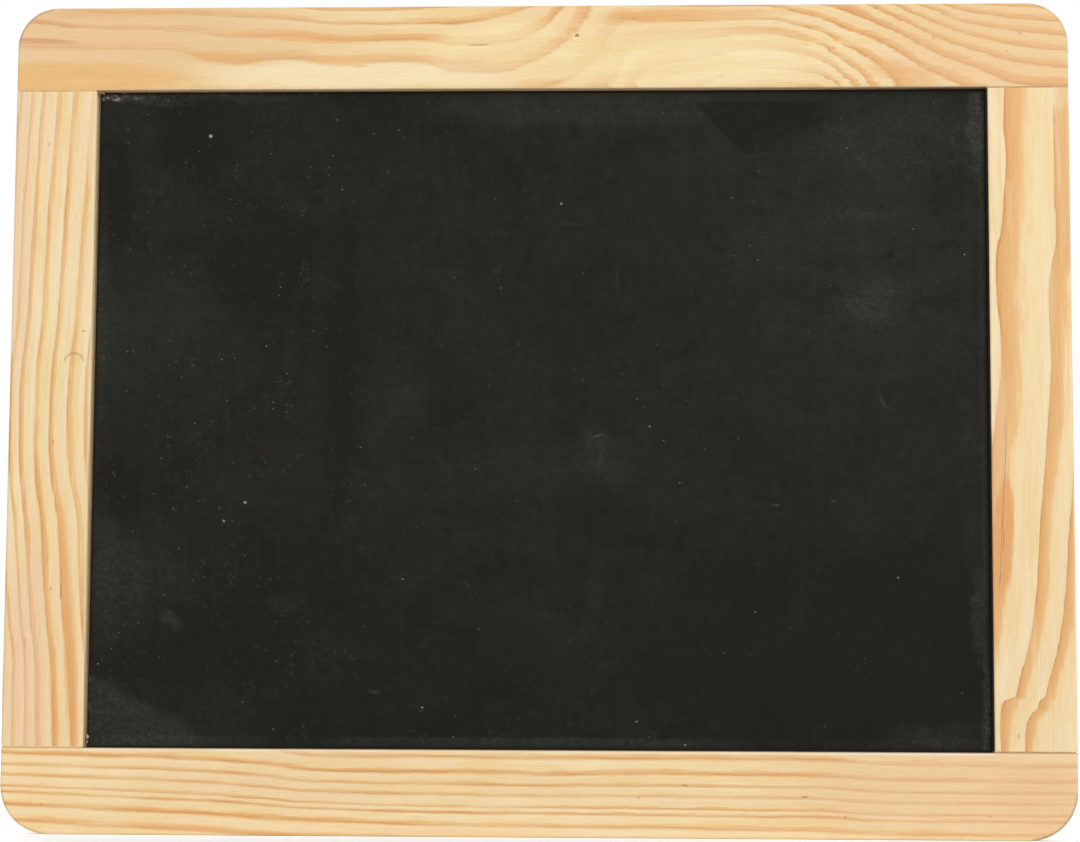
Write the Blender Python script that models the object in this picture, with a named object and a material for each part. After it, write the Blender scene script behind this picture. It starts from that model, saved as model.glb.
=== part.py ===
"""Wall chalkboard: a black writing panel in a softwood frame, with two D-ring hangers on its back.

Metres, +Z up. The board faces -Y and its back, the plane Y = 0, faces the wall at +Y. The origin lies on the
back plane, midway between the pivots of the two hanger rings. The rails run the full width. One cutter makes
the groove that holds the panel and the open slots at the rails' ends, so the stiles' tenons are as thick as
the panel and show as end grain on the frame's edges.
"""
import math
from dataclasses import dataclass

import bmesh
import bpy
from mathutils import Vector

# Frame
WIDTH = 0.240
HEIGHT = 0.1885
FRAME_THICKNESS = 0.009
RAIL_WIDTH = 0.0193
STILE_WIDTH = 0.0185
TOP_CORNER_RADIUS = 0.0092
BOTTOM_CORNER_RADIUS = 0.0109
EASED_EDGE = 0.0005
GROOVE_DEPTH = 0.004

# Panel and fits
PANEL_THICKNESS = 0.003
CLEARANCE = 0.0003
OVERRUN = 0.002
TOLERANCE = 0.00001

# Hanger strap, a strip folded round the ring's wire
HANGER_SPACING = 0.140
STRAP_WIDTH = 0.008
STRAP_METAL = 0.0006
STRAP_LEAF_GAP = 0.0001
STRAP_TIP = 0.0036
KNUCKLE_TO_SCREW = 0.0053
KNUCKLE_WRAP = math.radians(240)
STRAP_BEND_RADIUS = 0.0008

# Hanger ring
WIRE_RADIUS = 0.0009
RING_SIDE_PLAY = 0.001
RING_BEND_RADIUS = 0.0016
RING_ARM = 0.002

# Hanger screw
SHANK_RADIUS = 0.00125
SHANK_LENGTH = 0.008
SHANK_POINT = 0.0018
HEAD_RADIUS = 0.0025
HEAD_HEIGHT = 0.0014
HEAD_RIM = 0.0005
CROSS_WIDTH = 0.0007
CROSS_SPAN = 0.0028
CROSS_DEPTH = 0.0009
SCREW_HOLE_WALL = 0.0012

# Facets
CORNER_STEPS = 10
EASE_SEGMENTS = 2
KNUCKLE_STEPS = 20
BEND_STEPS = 4
RING_STEPS = 20
WIRE_RESOLUTION = 2
SCREW_SIDES = 24
SMOOTH_ANGLE = math.radians(35)

# Places that follow from the sizes above
MIDDLE_Y = -FRAME_THICKNESS / 2
OPENING_WIDTH = WIDTH - 2 * STILE_WIDTH
OPENING_HEIGHT = HEIGHT - 2 * RAIL_WIDTH
GROOVE_WIDTH = PANEL_THICKNESS + 2 * CLEARANCE
TENON_WIDTH = STILE_WIDTH - GROOVE_DEPTH
SCREW_HOLE_RADIUS = SHANK_RADIUS + CLEARANCE
PIVOT_DROP = RAIL_WIDTH - GROOVE_DEPTH - SCREW_HOLE_WALL - SCREW_HOLE_RADIUS - KNUCKLE_TO_SCREW
TOP_EDGE = PIVOT_DROP
BOARD_CENTRE_Z = TOP_EDGE - HEIGHT / 2
KNUCKLE_RADIUS = WIRE_RADIUS + CLEARANCE + STRAP_METAL / 2
INNER_LEAF_Y = CLEARANCE + STRAP_METAL / 2
OUTER_LEAF_Y = INNER_LEAF_Y + STRAP_METAL + STRAP_LEAF_GAP
PIVOT_Y = INNER_LEAF_Y + KNUCKLE_RADIUS
HEAD_SEAT_Y = OUTER_LEAF_Y + STRAP_METAL / 2 + CLEARANCE
HEAD_TOP_Y = HEAD_SEAT_Y + HEAD_HEIGHT
RING_RADIUS = STRAP_WIDTH / 2 + RING_SIDE_PLAY + WIRE_RADIUS
RING_REACH = RING_ARM + RING_RADIUS
RING_REST_TILT = math.asin((HEAD_TOP_Y + CLEARANCE + WIRE_RADIUS - PIVOT_Y) / RING_REACH)


@dataclass(frozen=True)
class Finish:
    """Plain colour of a piece."""

    name: str
    colour: tuple
    roughness: float
    metallic: float = 0.0

    def material(self, node):
        """Make the Principled material that a node wears."""
        material = bpy.data.materials.new(f"{node}_{self.name}")
        material.use_nodes = True
        shader = material.node_tree.nodes["Principled BSDF"]
        shader.inputs["Base Color"].default_value = (*self.colour, 1.0)
        shader.inputs["Roughness"].default_value = self.roughness
        shader.inputs["Metallic"].default_value = self.metallic
        return material


PINE = Finish("pine", (0.83, 0.62, 0.36), 0.55)
CHALKBOARD = Finish("chalkboard_black", (0.028, 0.028, 0.024), 0.85)
PLATED_STEEL = Finish("plated_steel", (0.62, 0.62, 0.60), 0.35, 1.0)


def clear_scene():
    """Remove whatever the file opened with."""
    for item in list(bpy.data.objects):
        bpy.data.objects.remove(item, do_unlink=True)


def add_object(name, data, location=(0, 0, 0), rotation=(0, 0, 0)):
    """Link a new object to the scene."""
    item = bpy.data.objects.new(name, data)
    item.location = location
    item.rotation_euler = rotation
    bpy.context.scene.collection.objects.link(item)
    return item


def finish_mesh(name, shape):
    """Turn a bmesh into a smooth-shaded mesh with outward faces."""
    bmesh.ops.recalc_face_normals(shape, faces=shape.faces)
    mesh = bpy.data.meshes.new(name)
    shape.to_mesh(mesh)
    shape.free()
    mesh.shade_smooth()
    mesh.set_sharp_from_angle(angle=SMOOTH_ANGLE)
    return mesh


def cut(item, cutter, operation="DIFFERENCE"):
    """Cut an object with a hidden cutter that rides on it."""
    cutter.parent = item
    cutter.hide_render = True
    cutter.display_type = "WIRE"
    modifier = item.modifiers.new(cutter.name, "BOOLEAN")
    modifier.operation = operation
    modifier.solver = "EXACT"
    modifier.object = cutter


def arc(centre, radius, start, sweep, steps):
    """Points along an arc in a plane, both ends included."""
    turns = [start + sweep * step / steps for step in range(steps + 1)]
    return [(centre[0] + radius * math.cos(turn), centre[1] + radius * math.sin(turn)) for turn in turns]


def rounded_rectangle(width, height, radii):
    """Outline centred on zero. Radii go round from the lower left corner, anticlockwise."""
    corners = ((-1, -1), (1, -1), (1, 1), (-1, 1))
    outline = []
    for index, ((side_x, side_z), radius) in enumerate(zip(corners, radii)):
        corner = (side_x * width / 2, side_z * height / 2)
        if radius == 0:
            outline.append(corner)
            continue
        centre = (corner[0] - side_x * radius, corner[1] - side_z * radius)
        start = math.pi + index * math.pi / 2
        outline += arc(centre, radius, start, math.pi / 2, CORNER_STEPS)
    return outline


def add_prism(shape, outline, thickness, middle=0.0):
    """Add a closed outline in X and Z, extruded along Y about its middle."""
    front = [shape.verts.new((x, middle - thickness / 2, z)) for x, z in outline]
    face = shape.faces.new(front)
    extruded = bmesh.ops.extrude_face_region(shape, geom=[face])["geom"]
    moved = [element for element in extruded if isinstance(element, bmesh.types.BMVert)]
    bmesh.ops.translate(shape, verts=moved, vec=(0, thickness, 0))


def prism_cutter(name, outlines, thickness, middle=0.0):
    """Make a cutter from outlines in X and Z that are extruded along Y."""
    shape = bmesh.new()
    for outline in outlines:
        add_prism(shape, outline, thickness, middle)
    return add_object(name, finish_mesh(name, shape))


def box_outline(left, right, low, high):
    """Outline of an upright rectangle from its limits."""
    return [(left, low), (right, low), (right, high), (left, high)]


def ease_edges(shape, is_eased):
    """Round off the long edges of a batten's front and back faces."""
    def on_rim(edge):
        flat = math.isclose(edge.verts[0].co.y, edge.verts[1].co.y, abs_tol=TOLERANCE)
        return flat and edge.calc_face_angle(0.0) > math.pi / 4

    rims = [edge for edge in shape.edges if on_rim(edge) and is_eased(edge)]
    bmesh.ops.bevel(
        shape,
        geom=rims,
        offset=EASED_EDGE,
        offset_type="OFFSET",
        segments=EASE_SEGMENTS,
        profile=0.5,
        affect="EDGES",
    )


def build_rail(name, outward, corner_radius):
    """Make a through rail. Its outer edge faces up or down, as outward is 1 or -1."""
    rounded = (corner_radius, corner_radius)
    radii = (0, 0, *rounded) if outward > 0 else (*rounded, 0, 0)
    shape = bmesh.new()
    add_prism(shape, rounded_rectangle(WIDTH, RAIL_WIDTH, radii), FRAME_THICKNESS)
    for side in (-1, 1):
        bmesh.ops.bisect_plane(
            shape,
            geom=[*shape.verts, *shape.edges, *shape.faces],
            dist=TOLERANCE,
            plane_co=(side * OPENING_WIDTH / 2, 0, 0),
            plane_no=(1, 0, 0),
        )

    def is_eased(edge):
        middle = (edge.verts[0].co + edge.verts[1].co) / 2
        on_shoulder = abs(middle.x) > OPENING_WIDTH / 2
        inner_side = math.isclose(middle.z, -outward * RAIL_WIDTH / 2, abs_tol=TOLERANCE)
        return not (inner_side and on_shoulder)

    ease_edges(shape, is_eased)
    place = (0, MIDDLE_Y, BOARD_CENTRE_Z + outward * (HEIGHT - RAIL_WIDTH) / 2)
    rail = add_object(name, finish_mesh(name, shape), place)
    rail.data.materials.append(PINE.material(name))

    end = WIDTH / 2 + OVERRUN
    slot = WIDTH / 2 - TENON_WIDTH - CLEARANCE
    inner = -RAIL_WIDTH / 2 - OVERRUN
    groove = -RAIL_WIDTH / 2 + GROOVE_DEPTH
    outer = RAIL_WIDTH / 2 + OVERRUN
    channel = [
        (-end, inner), (end, inner), (end, outer), (slot, outer),
        (slot, groove), (-slot, groove), (-slot, outer), (-end, outer),
    ]
    outline = [(x, outward * z) for x, z in channel]
    cut(rail, prism_cutter(f"{name}_groove_and_slots", [outline], GROOVE_WIDTH))
    return rail


def build_stile(name, side):
    """Make a stile with its groove and tenons. Side is -1 on the left and 1 on the right."""
    top, bottom = TOP_CORNER_RADIUS, BOTTOM_CORNER_RADIUS
    radii = (0, bottom, top, 0) if side > 0 else (bottom, 0, 0, top)
    shape = bmesh.new()
    add_prism(shape, rounded_rectangle(STILE_WIDTH, HEIGHT, radii), FRAME_THICKNESS)
    ease_edges(shape, lambda edge: True)
    place = (side * (WIDTH - STILE_WIDTH) / 2, MIDDLE_Y, BOARD_CENTRE_Z)
    stile = add_object(name, finish_mesh(name, shape), place)
    stile.data.materials.append(PINE.material(name))

    inner = -side * (STILE_WIDTH / 2 + OVERRUN)
    groove = -side * (STILE_WIDTH / 2 - GROOVE_DEPTH)
    end = HEIGHT / 2 + OVERRUN
    groove_outline = box_outline(inner, groove, -end, end)
    cut(stile, prism_cutter(f"{name}_groove", [groove_outline], GROOVE_WIDTH))

    shoulder = OPENING_HEIGHT / 2 - CLEARANCE
    reach = STILE_WIDTH / 2 + OVERRUN
    ends = [box_outline(-reach, reach, low, high) for low, high in ((-end, -shoulder), (shoulder, end))]
    cheek = (FRAME_THICKNESS - PANEL_THICKNESS) / 2 + OVERRUN
    for face, label in ((-1, "front"), (1, "back")):
        middle = face * (PANEL_THICKNESS / 2 + cheek / 2)
        cut(stile, prism_cutter(f"{name}_{label}_shoulders", ends, cheek, middle))
    return stile


def build_panel():
    """Make the writing panel, which fills the opening and the groove round it."""
    held = GROOVE_DEPTH - CLEARANCE
    shape = bmesh.new()
    outline = rounded_rectangle(OPENING_WIDTH + 2 * held, OPENING_HEIGHT + 2 * held, (0, 0, 0, 0))
    add_prism(shape, outline, PANEL_THICKNESS)
    name = "chalkboard_panel"
    panel = add_object(name, finish_mesh(name, shape), (0, MIDDLE_Y, BOARD_CENTRE_Z))
    panel.data.materials.append(CHALKBOARD.material(name))
    return panel


def turned(profile, sides):
    """Turn a profile of radius and Y round the Y axis into one closed body."""
    shape = bmesh.new()
    points = [shape.verts.new((radius, along, 0)) for radius, along in profile]
    edges = [shape.edges.new(pair) for pair in zip(points, points[1:])]
    bmesh.ops.spin(
        shape,
        geom=[*points, *edges],
        axis=(0, 1, 0),
        cent=(0, 0, 0),
        steps=sides,
        angle=2 * math.pi,
        use_merge=True,
    )
    bmesh.ops.remove_doubles(shape, verts=shape.verts, dist=TOLERANCE)
    return shape


def drill(item, name, place, radius, low, high):
    """Drill a round hole along Y between two depths, both in the item's own frame."""
    profile = [(0, low), (radius, low), (radius, high), (0, high)]
    cutter = add_object(name, finish_mesh(name, turned(profile, SCREW_SIDES)), place)
    cut(item, cutter)


def strap_path():
    """Side view of the folded strap as points of Y and Z about the ring's pivot."""
    tail = -KNUCKLE_TO_SCREW - STRAP_TIP
    inner = INNER_LEAF_Y - PIVOT_Y
    outer = OUTER_LEAF_Y - PIVOT_Y
    wrap = arc((0, 0), KNUCKLE_RADIUS, math.pi, -KNUCKLE_WRAP, KNUCKLE_STEPS)
    last = Vector(wrap[-1])
    heading = math.pi - KNUCKLE_WRAP - math.pi / 2
    run = Vector((math.cos(heading), math.sin(heading)))
    corner = last + run * (outer - last.x) / run.x
    turn = math.acos(-run.y)
    set_back = STRAP_BEND_RADIUS * math.tan(turn / 2)
    bend_centre = (outer + STRAP_BEND_RADIUS, corner.y - set_back)
    bend = arc(bend_centre, STRAP_BEND_RADIUS, math.pi - turn, turn, BEND_STEPS)
    return [(inner, tail), *wrap, *bend, (outer, tail)]


def build_strap(name, x):
    """Make a strap: a folded strip with a rounded tail and one screw hole."""
    shape = bmesh.new()
    points = [shape.verts.new((-STRAP_WIDTH / 2, y, z)) for y, z in strap_path()]
    edges = [shape.edges.new(pair) for pair in zip(points, points[1:])]
    extruded = bmesh.ops.extrude_edge_only(shape, edges=edges)["geom"]
    moved = [element for element in extruded if isinstance(element, bmesh.types.BMVert)]
    bmesh.ops.translate(shape, verts=moved, vec=(STRAP_WIDTH, 0, 0))
    strap = add_object(name, finish_mesh(name, shape), (x, PIVOT_Y, 0))
    strap.data.materials.append(PLATED_STEEL.material(name))

    metal = strap.modifiers.new("metal", "SOLIDIFY")
    metal.thickness = STRAP_METAL
    metal.offset = 0.0
    metal.use_even_offset = True

    tail = KNUCKLE_TO_SCREW + STRAP_TIP
    head = KNUCKLE_RADIUS + STRAP_METAL / 2 + OVERRUN
    half = STRAP_WIDTH / 2
    tail_round = arc((0, half - tail), half, math.pi, math.pi, 2 * CORNER_STEPS)
    reach = half + OVERRUN
    plan = [(-reach, head), (-reach, half - tail), *tail_round, (reach, half - tail), (reach, head)]
    cut(strap, prism_cutter(f"{name}_plan", [plan], 2 * (PIVOT_Y + OVERRUN)), "INTERSECT")
    drill(strap, f"{name}_hole", (0, 0, -KNUCKLE_TO_SCREW), SCREW_HOLE_RADIUS, -PIVOT_Y - OVERRUN, PIVOT_Y)
    return strap


def ring_path():
    """The D of the ring's wire about its pivot, in X and Y, with its round side towards -Y."""
    bend = RING_BEND_RADIUS
    corner_x = RING_RADIUS - bend
    right = arc((corner_x, -bend), bend, math.pi / 2, -math.pi / 2, BEND_STEPS)
    round_side = arc((0, -RING_ARM), RING_RADIUS, 0, -math.pi, RING_STEPS)
    left = arc((-corner_x, -bend), bend, math.pi, -math.pi / 2, BEND_STEPS)
    return [*right, *round_side, *left]


def build_ring(name, x):
    """Make a ring of round wire. Its origin lies on the axis that it swings about."""
    wire = bpy.data.curves.new(name, "CURVE")
    wire.dimensions = "3D"
    wire.bevel_depth = WIRE_RADIUS
    wire.bevel_resolution = WIRE_RESOLUTION
    spline = wire.splines.new("POLY")
    path = ring_path()
    spline.points.add(len(path) - 1)
    for point, (px, py) in zip(spline.points, path):
        point.co = (px, py, 0, 1)
    spline.use_cyclic_u = True
    spline.use_smooth = True
    hanging = (math.pi / 2 + RING_REST_TILT, 0, 0)
    ring = add_object(name, wire, (x, PIVOT_Y, 0), hanging)
    wire.materials.append(PLATED_STEEL.material(name))
    return ring


def build_screw(name, x):
    """Make a cross-slotted pan head screw along Y, its head seated on the strap."""
    dome = HEAD_HEIGHT - HEAD_RIM
    profile = [
        (0, -SHANK_LENGTH),
        (SHANK_RADIUS, SHANK_POINT - SHANK_LENGTH),
        (SHANK_RADIUS, 0),
        (HEAD_RADIUS, 0),
        (HEAD_RADIUS, HEAD_RIM),
    ]
    turns = [math.pi / 2 * step / BEND_STEPS for step in range(1, BEND_STEPS)]
    profile += [(HEAD_RADIUS * math.cos(turn), HEAD_RIM + dome * math.sin(turn)) for turn in turns]
    profile.append((0, HEAD_HEIGHT))
    mesh = finish_mesh(name, turned(profile, SCREW_SIDES))
    screw = add_object(name, mesh, (x, HEAD_SEAT_Y, -KNUCKLE_TO_SCREW))
    screw.data.materials.append(PLATED_STEEL.material(name))

    wide, long = CROSS_WIDTH / 2, CROSS_SPAN / 2
    cross = [
        (long, -wide), (long, wide), (wide, wide), (wide, long), (-wide, long), (-wide, wide),
        (-long, wide), (-long, -wide), (-wide, -wide), (-wide, -long), (wide, -long), (wide, -wide),
    ]
    middle = HEAD_HEIGHT - CROSS_DEPTH + (CROSS_DEPTH + OVERRUN) / 2
    cut(screw, prism_cutter(f"{name}_cross", [cross], CROSS_DEPTH + OVERRUN, middle))
    return screw


def build_hanger(side_name, side, rail):
    """Make one hanger and drill the rail for its screw."""
    x = side * HANGER_SPACING / 2
    build_strap(f"hanger_strap_{side_name}", x)
    build_ring(f"hanger_ring_{side_name}", x)
    build_screw(f"hanger_screw_{side_name}", x)
    place = (x, 0, -KNUCKLE_TO_SCREW - rail.location.z)
    deepest = HEAD_SEAT_Y - SHANK_LENGTH - CLEARANCE - MIDDLE_Y
    drill(rail, f"pilot_hole_{side_name}", place, SCREW_HOLE_RADIUS, deepest, FRAME_THICKNESS / 2 + OVERRUN)


def main():
    """Build the board: frame, panel and hangers."""
    clear_scene()
    top_rail = build_rail("top_rail", 1, TOP_CORNER_RADIUS)
    build_rail("bottom_rail", -1, BOTTOM_CORNER_RADIUS)
    build_stile("left_stile", -1)
    build_stile("right_stile", 1)
    build_panel()
    build_hanger("left", -1, top_rail)
    build_hanger("right", 1, top_rail)


main()
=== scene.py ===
"""Wall chalkboard, dressed: a pine frame round a dusty black writing panel, with two D-rings behind."""
import logging
import math
from dataclasses import dataclass, field
from enum import Enum
from functools import reduce
from typing import Optional, Sequence, Union

import bpy
from mathutils import Matrix, Vector


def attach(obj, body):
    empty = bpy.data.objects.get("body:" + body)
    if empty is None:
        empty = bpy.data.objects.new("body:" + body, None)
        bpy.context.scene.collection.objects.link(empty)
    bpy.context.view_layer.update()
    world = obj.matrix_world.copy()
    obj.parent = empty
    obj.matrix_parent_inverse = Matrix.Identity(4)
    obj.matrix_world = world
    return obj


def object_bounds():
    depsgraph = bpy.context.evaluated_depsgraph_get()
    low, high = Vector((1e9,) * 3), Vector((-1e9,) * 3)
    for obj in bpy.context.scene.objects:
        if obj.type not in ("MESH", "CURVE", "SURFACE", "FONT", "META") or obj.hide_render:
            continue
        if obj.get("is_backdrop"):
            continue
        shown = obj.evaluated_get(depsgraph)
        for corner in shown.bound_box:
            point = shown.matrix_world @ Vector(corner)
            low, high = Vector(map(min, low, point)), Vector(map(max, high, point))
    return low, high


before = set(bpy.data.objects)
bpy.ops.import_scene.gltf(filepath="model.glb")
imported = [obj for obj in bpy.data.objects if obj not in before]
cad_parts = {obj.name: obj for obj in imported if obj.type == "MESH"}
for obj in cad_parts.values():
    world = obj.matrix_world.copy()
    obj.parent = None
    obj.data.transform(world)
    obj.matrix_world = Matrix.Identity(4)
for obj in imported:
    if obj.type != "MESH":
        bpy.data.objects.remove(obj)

LOG = logging.getLogger("chalkboard")
CAD_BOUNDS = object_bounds()

# The board's own frame, in millimetres: X from its middle, depth from its front, height from its middle
MILLIMETRES = 1000.0
THICKNESS = 9.0
BOARD_CENTRE = Vector((0.0, -THICKNESS, -87.0))
HALF_WIDTH = 120.0
HALF_HEIGHT = 94.25
RAIL_WIDTH = 19.3
STILE_WIDTH = 18.5
OPENING_X = HALF_WIDTH - STILE_WIDTH
OPENING_Z = HALF_HEIGHT - RAIL_WIDTH
TOP_RADIUS = 9.2
BOTTOM_RADIUS = 10.9
PANEL_FACE = 3.0
TINY = 1e-6

Colour = tuple[float, float, float]
Points = Sequence[tuple[float, float]]


def linear(part: float) -> float:
    """Turn one channel of a screen colour into linear light, by the curve that screens use."""
    return part / 12.92 if part <= 0.04045 else ((part + 0.055) / 1.055) ** 2.4


def paint(code: str) -> Colour:
    """Turn a screen colour written as six hexadecimal digits into linear red, green and blue."""
    red, green, blue = (linear(int(code[place:place + 2], 16) / 255) for place in (0, 2, 4))
    return red, green, blue


@dataclass(frozen=True)
class Signal:
    """What one output of a node tree carries over a surface."""

    nodes: "Nodes"
    socket: bpy.types.NodeSocket


class Number(Signal):
    """A number that varies over a surface, with plain arithmetic."""

    def __add__(self, other: "Amount") -> "Number":
        """Sum."""
        return self.nodes.math("ADD", self, other)

    __radd__ = __add__

    def __sub__(self, other: "Amount") -> "Number":
        """Difference."""
        return self.nodes.math("SUBTRACT", self, other)

    def __rsub__(self, other: "Amount") -> "Number":
        """Difference the other way round."""
        return self.nodes.math("SUBTRACT", other, self)

    def __mul__(self, other: "Amount") -> "Number":
        """Product."""
        return self.nodes.math("MULTIPLY", self, other)

    __rmul__ = __mul__

    def __truediv__(self, other: "Amount") -> "Number":
        """Quotient."""
        return self.nodes.math("DIVIDE", self, other)

    def __abs__(self) -> "Number":
        """Size without its sign."""
        return self.nodes.math("ABSOLUTE", self)

    def floor(self) -> "Number":
        """The whole number at or below."""
        return self.nodes.math("FLOOR", self)

    def fraction(self) -> "Number":
        """What is left above the whole number."""
        return self.nodes.math("FRACT", self)

    def at_least(self, other: "Amount") -> "Number":
        """The larger of two."""
        return self.nodes.math("MAXIMUM", self, other)

    def at_most(self, other: "Amount") -> "Number":
        """The smaller of two."""
        return self.nodes.math("MINIMUM", self, other)

    def limited(self) -> "Number":
        """The number held between nought and one."""
        return self.at_least(0.0).at_most(1.0)

    def rises(self, start: float, end: float) -> "Number":
        """A smooth step.

        Args:
            start: Where it leaves nought.
            end: Where it reaches one, which may lie below the start.

        Returns:
            Nought before the start, one after the end.
        """
        inputs = {"Value": self, "From Min": min(start, end), "From Max": max(start, end)}
        inputs["To Min"], inputs["To Max"] = (0.0, 1.0) if start < end else (1.0, 0.0)
        node = self.nodes.add("ShaderNodeMapRange", {"interpolation_type": "SMOOTHSTEP"}, inputs)
        return Number(self.nodes, node.outputs["Result"])


Amount = Union[Number, float]


class Place(Signal):
    """A vector that varies over a surface."""

    def scaled(self, factors: Sequence[float]) -> "Place":
        """The vector with each part multiplied by its own factor."""
        return self.nodes.vector("MULTIPLY", self, tuple(factors))

    def in_cells(self, *sizes: float) -> "Place":
        """The vector counted in cells of these sizes, one for each part."""
        return self.scaled([1 / size for size in sizes])

    def moved(self, shift: Union["Place", Sequence[float]]) -> "Place":
        """The vector with another added."""
        return self.nodes.vector("ADD", self, shift if isinstance(shift, Place) else tuple(shift))

    def length(self) -> Number:
        """How long the vector is."""
        node = self.nodes.add("ShaderNodeVectorMath", {"operation": "LENGTH"}, {0: self})
        return Number(self.nodes, node.outputs["Value"])

    def parts(self) -> tuple[Number, Number, Number]:
        """The vector's three numbers."""
        outputs = self.nodes.add("ShaderNodeSeparateXYZ", None, {"Vector": self}).outputs
        return Number(self.nodes, outputs[0]), Number(self.nodes, outputs[1]), Number(self.nodes, outputs[2])


class Tint(Signal):
    """A colour that varies over a surface."""

    def towards(self, other: Union["Tint", Colour], share: Amount, blend: str = "MIX") -> "Tint":
        """Go towards another colour by a share from nought to one, by one of Blender's blend types."""
        return self.nodes.mix(self, other, share, blend)

    def times(self, amount: Amount) -> "Tint":
        """Make the colour lighter or darker.

        Args:
            amount: What it is multiplied by.

        Returns:
            The new colour.
        """
        nodes = self.nodes
        grey = nodes.add("ShaderNodeCombineXYZ", None, {0: amount, 1: amount, 2: amount}).outputs[0]
        return Tint(nodes, nodes.vector("MULTIPLY", Place(nodes, self.socket), Place(nodes, grey)).socket)


class Nodes:
    """The node tree of one material, or of the world."""

    def __init__(self, name: str, world: bool = False) -> None:
        """Start an empty tree.

        Args:
            name: The material's or the world's name.
            world: Whether it is the world's.
        """
        self.owner = (bpy.data.worlds if world else bpy.data.materials).new(name)
        self.owner.use_nodes = True
        self.tree = self.owner.node_tree
        self.tree.nodes.clear()

    def add(
        self,
        kind: str,
        settings: Optional[dict[str, object]] = None,
        inputs: Optional[dict[Union[str, int], object]] = None,
    ) -> bpy.types.Node:
        """Add a node.

        Args:
            kind: The node's type.
            settings: Its properties, set first. "stops" fills a colour ramp, "points" fills a curve, and
                "extend" says how the curve goes on.
            inputs: Values or links of its sockets, by name or number.

        Returns:
            The node.
        """
        node = self.tree.nodes.new(kind)
        for key, value in (settings or {}).items():
            if key == "stops":
                self._fill_ramp(node.color_ramp, value)
            elif key == "points":
                self._fill_curve(node.mapping, value)
            elif key == "extend":
                node.mapping.extend = value
            else:
                setattr(node, key, value)
        for key, value in (inputs or {}).items():
            if isinstance(value, Signal):
                self.tree.links.new(value.socket, node.inputs[key])
            elif isinstance(value, bpy.types.NodeSocket):
                self.tree.links.new(value, node.inputs[key])
            elif node.inputs[key].type == "RGBA" and len(value) == 3:
                node.inputs[key].default_value = (*value, 1.0)
            else:
                node.inputs[key].default_value = value
        return node

    @staticmethod
    def _fill_ramp(ramp: bpy.types.ColorRamp, stops: Sequence[tuple[float, Colour]]) -> None:
        """Give a ramp its stops.

        Args:
            ramp: The ramp, with Blender's two first stops.
            stops: Position and colour of each stop, in order.
        """
        while len(ramp.elements) < len(stops):
            ramp.elements.new(1.0)
        for element, (position, colour) in zip(ramp.elements, stops):
            element.position = position
            element.color = (*colour, 1.0)

    @staticmethod
    def _fill_curve(mapping: bpy.types.CurveMapping, points: Points) -> None:
        """Give a curve its points.

        Args:
            mapping: The curve, with Blender's two first points.
            points: Points between nought and one, in order.
        """
        mapping.use_clip = False
        line = mapping.curves[0]
        while len(line.points) < len(points):
            line.points.new(1.0, 1.0)
        for point, place in zip(line.points, points):
            point.location = place
            point.handle_type = "AUTO_CLAMPED"
        mapping.update()

    def math(self, operation: str, *values: Amount) -> Number:
        """Add a Math node."""
        node = self.add("ShaderNodeMath", {"operation": operation}, dict(enumerate(values)))
        return Number(self, node.outputs[0])

    def vector(self, operation: str, *values: Union[Place, Sequence[float]]) -> Place:
        """Add a Vector Math node."""
        node = self.add("ShaderNodeVectorMath", {"operation": operation}, dict(enumerate(values)))
        return Place(self, node.outputs[0])

    def mix(
        self,
        first: Union[Tint, Colour],
        second: Union[Tint, Colour],
        share: Amount,
        blend: str = "MIX",
    ) -> Tint:
        """Mix two colours: the share is nought at the first and one at the second."""
        settings = {"data_type": "RGBA", "blend_type": blend, "clamp_factor": True}
        return Tint(self, self.add("ShaderNodeMix", settings, {0: share, 6: first, 7: second}).outputs[2])

    def join(self, x: Amount, y: Amount, z: Amount) -> Place:
        """Make a vector of three numbers."""
        return Place(self, self.add("ShaderNodeCombineXYZ", None, {0: x, 1: y, 2: z}).outputs[0])

    def curve(self, value: Amount, points: Points, straight_on: bool = False) -> Number:
        """Look a number up on a smooth curve.

        Args:
            value: Where to look.
            points: What the curve gives at each place, in order of place.
            straight_on: Whether it goes straight on past its ends or stays level.

        Returns:
            The number that the curve gives.
        """
        start, end = points[0][0], points[-1][0]
        heights = [height for _, height in points]
        low = min(heights)
        span = max(max(heights) - low, TINY)
        inside = [((place - start) / (end - start), (height - low) / span) for place, height in points]
        settings = {"points": inside, "extend": "EXTRAPOLATED" if straight_on else "HORIZONTAL"}
        where = (value - start) / (end - start)
        inputs = {"Value": where if straight_on else where.limited()}
        node = self.add("ShaderNodeFloatCurve", settings, inputs)
        return Number(self, node.outputs[0]) * span + low

    def ramp(self, value: Amount, stops: Sequence[tuple[float, Colour]]) -> Tint:
        """Look a colour up on a ramp, from nought to one."""
        return Tint(self, self.add("ShaderNodeValToRGB", {"stops": stops}, {"Fac": value}).outputs[0])

    def noise(self, place: Place, detail: float = 2.0, roughness: float = 0.5, twist: float = 0.0) -> Number:
        """Soft noise about one half, one cell to each unit of its place, in so many finer layers."""
        inputs = {
            "Vector": place,
            "Scale": 1.0,
            "Detail": detail,
            "Roughness": roughness,
            "Distortion": twist,
        }
        return Number(self, self.add("ShaderNodeTexNoise", {"noise_dimensions": "3D"}, inputs).outputs[0])

    def cells(self, place: Place) -> tuple[Number, Number]:
        """Scattered points, about one to each unit of their place.

        Args:
            place: Where, already scaled.

        Returns:
            The distance to the nearest point, and a chance number of that point.
        """
        node = self.add("ShaderNodeTexVoronoi", {"feature": "F1"}, {"Vector": place, "Scale": 1.0})
        chance = self.add("ShaderNodeSeparateColor", None, {0: node.outputs["Color"]}).outputs[0]
        return Number(self, node.outputs["Distance"]), Number(self, chance)

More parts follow.
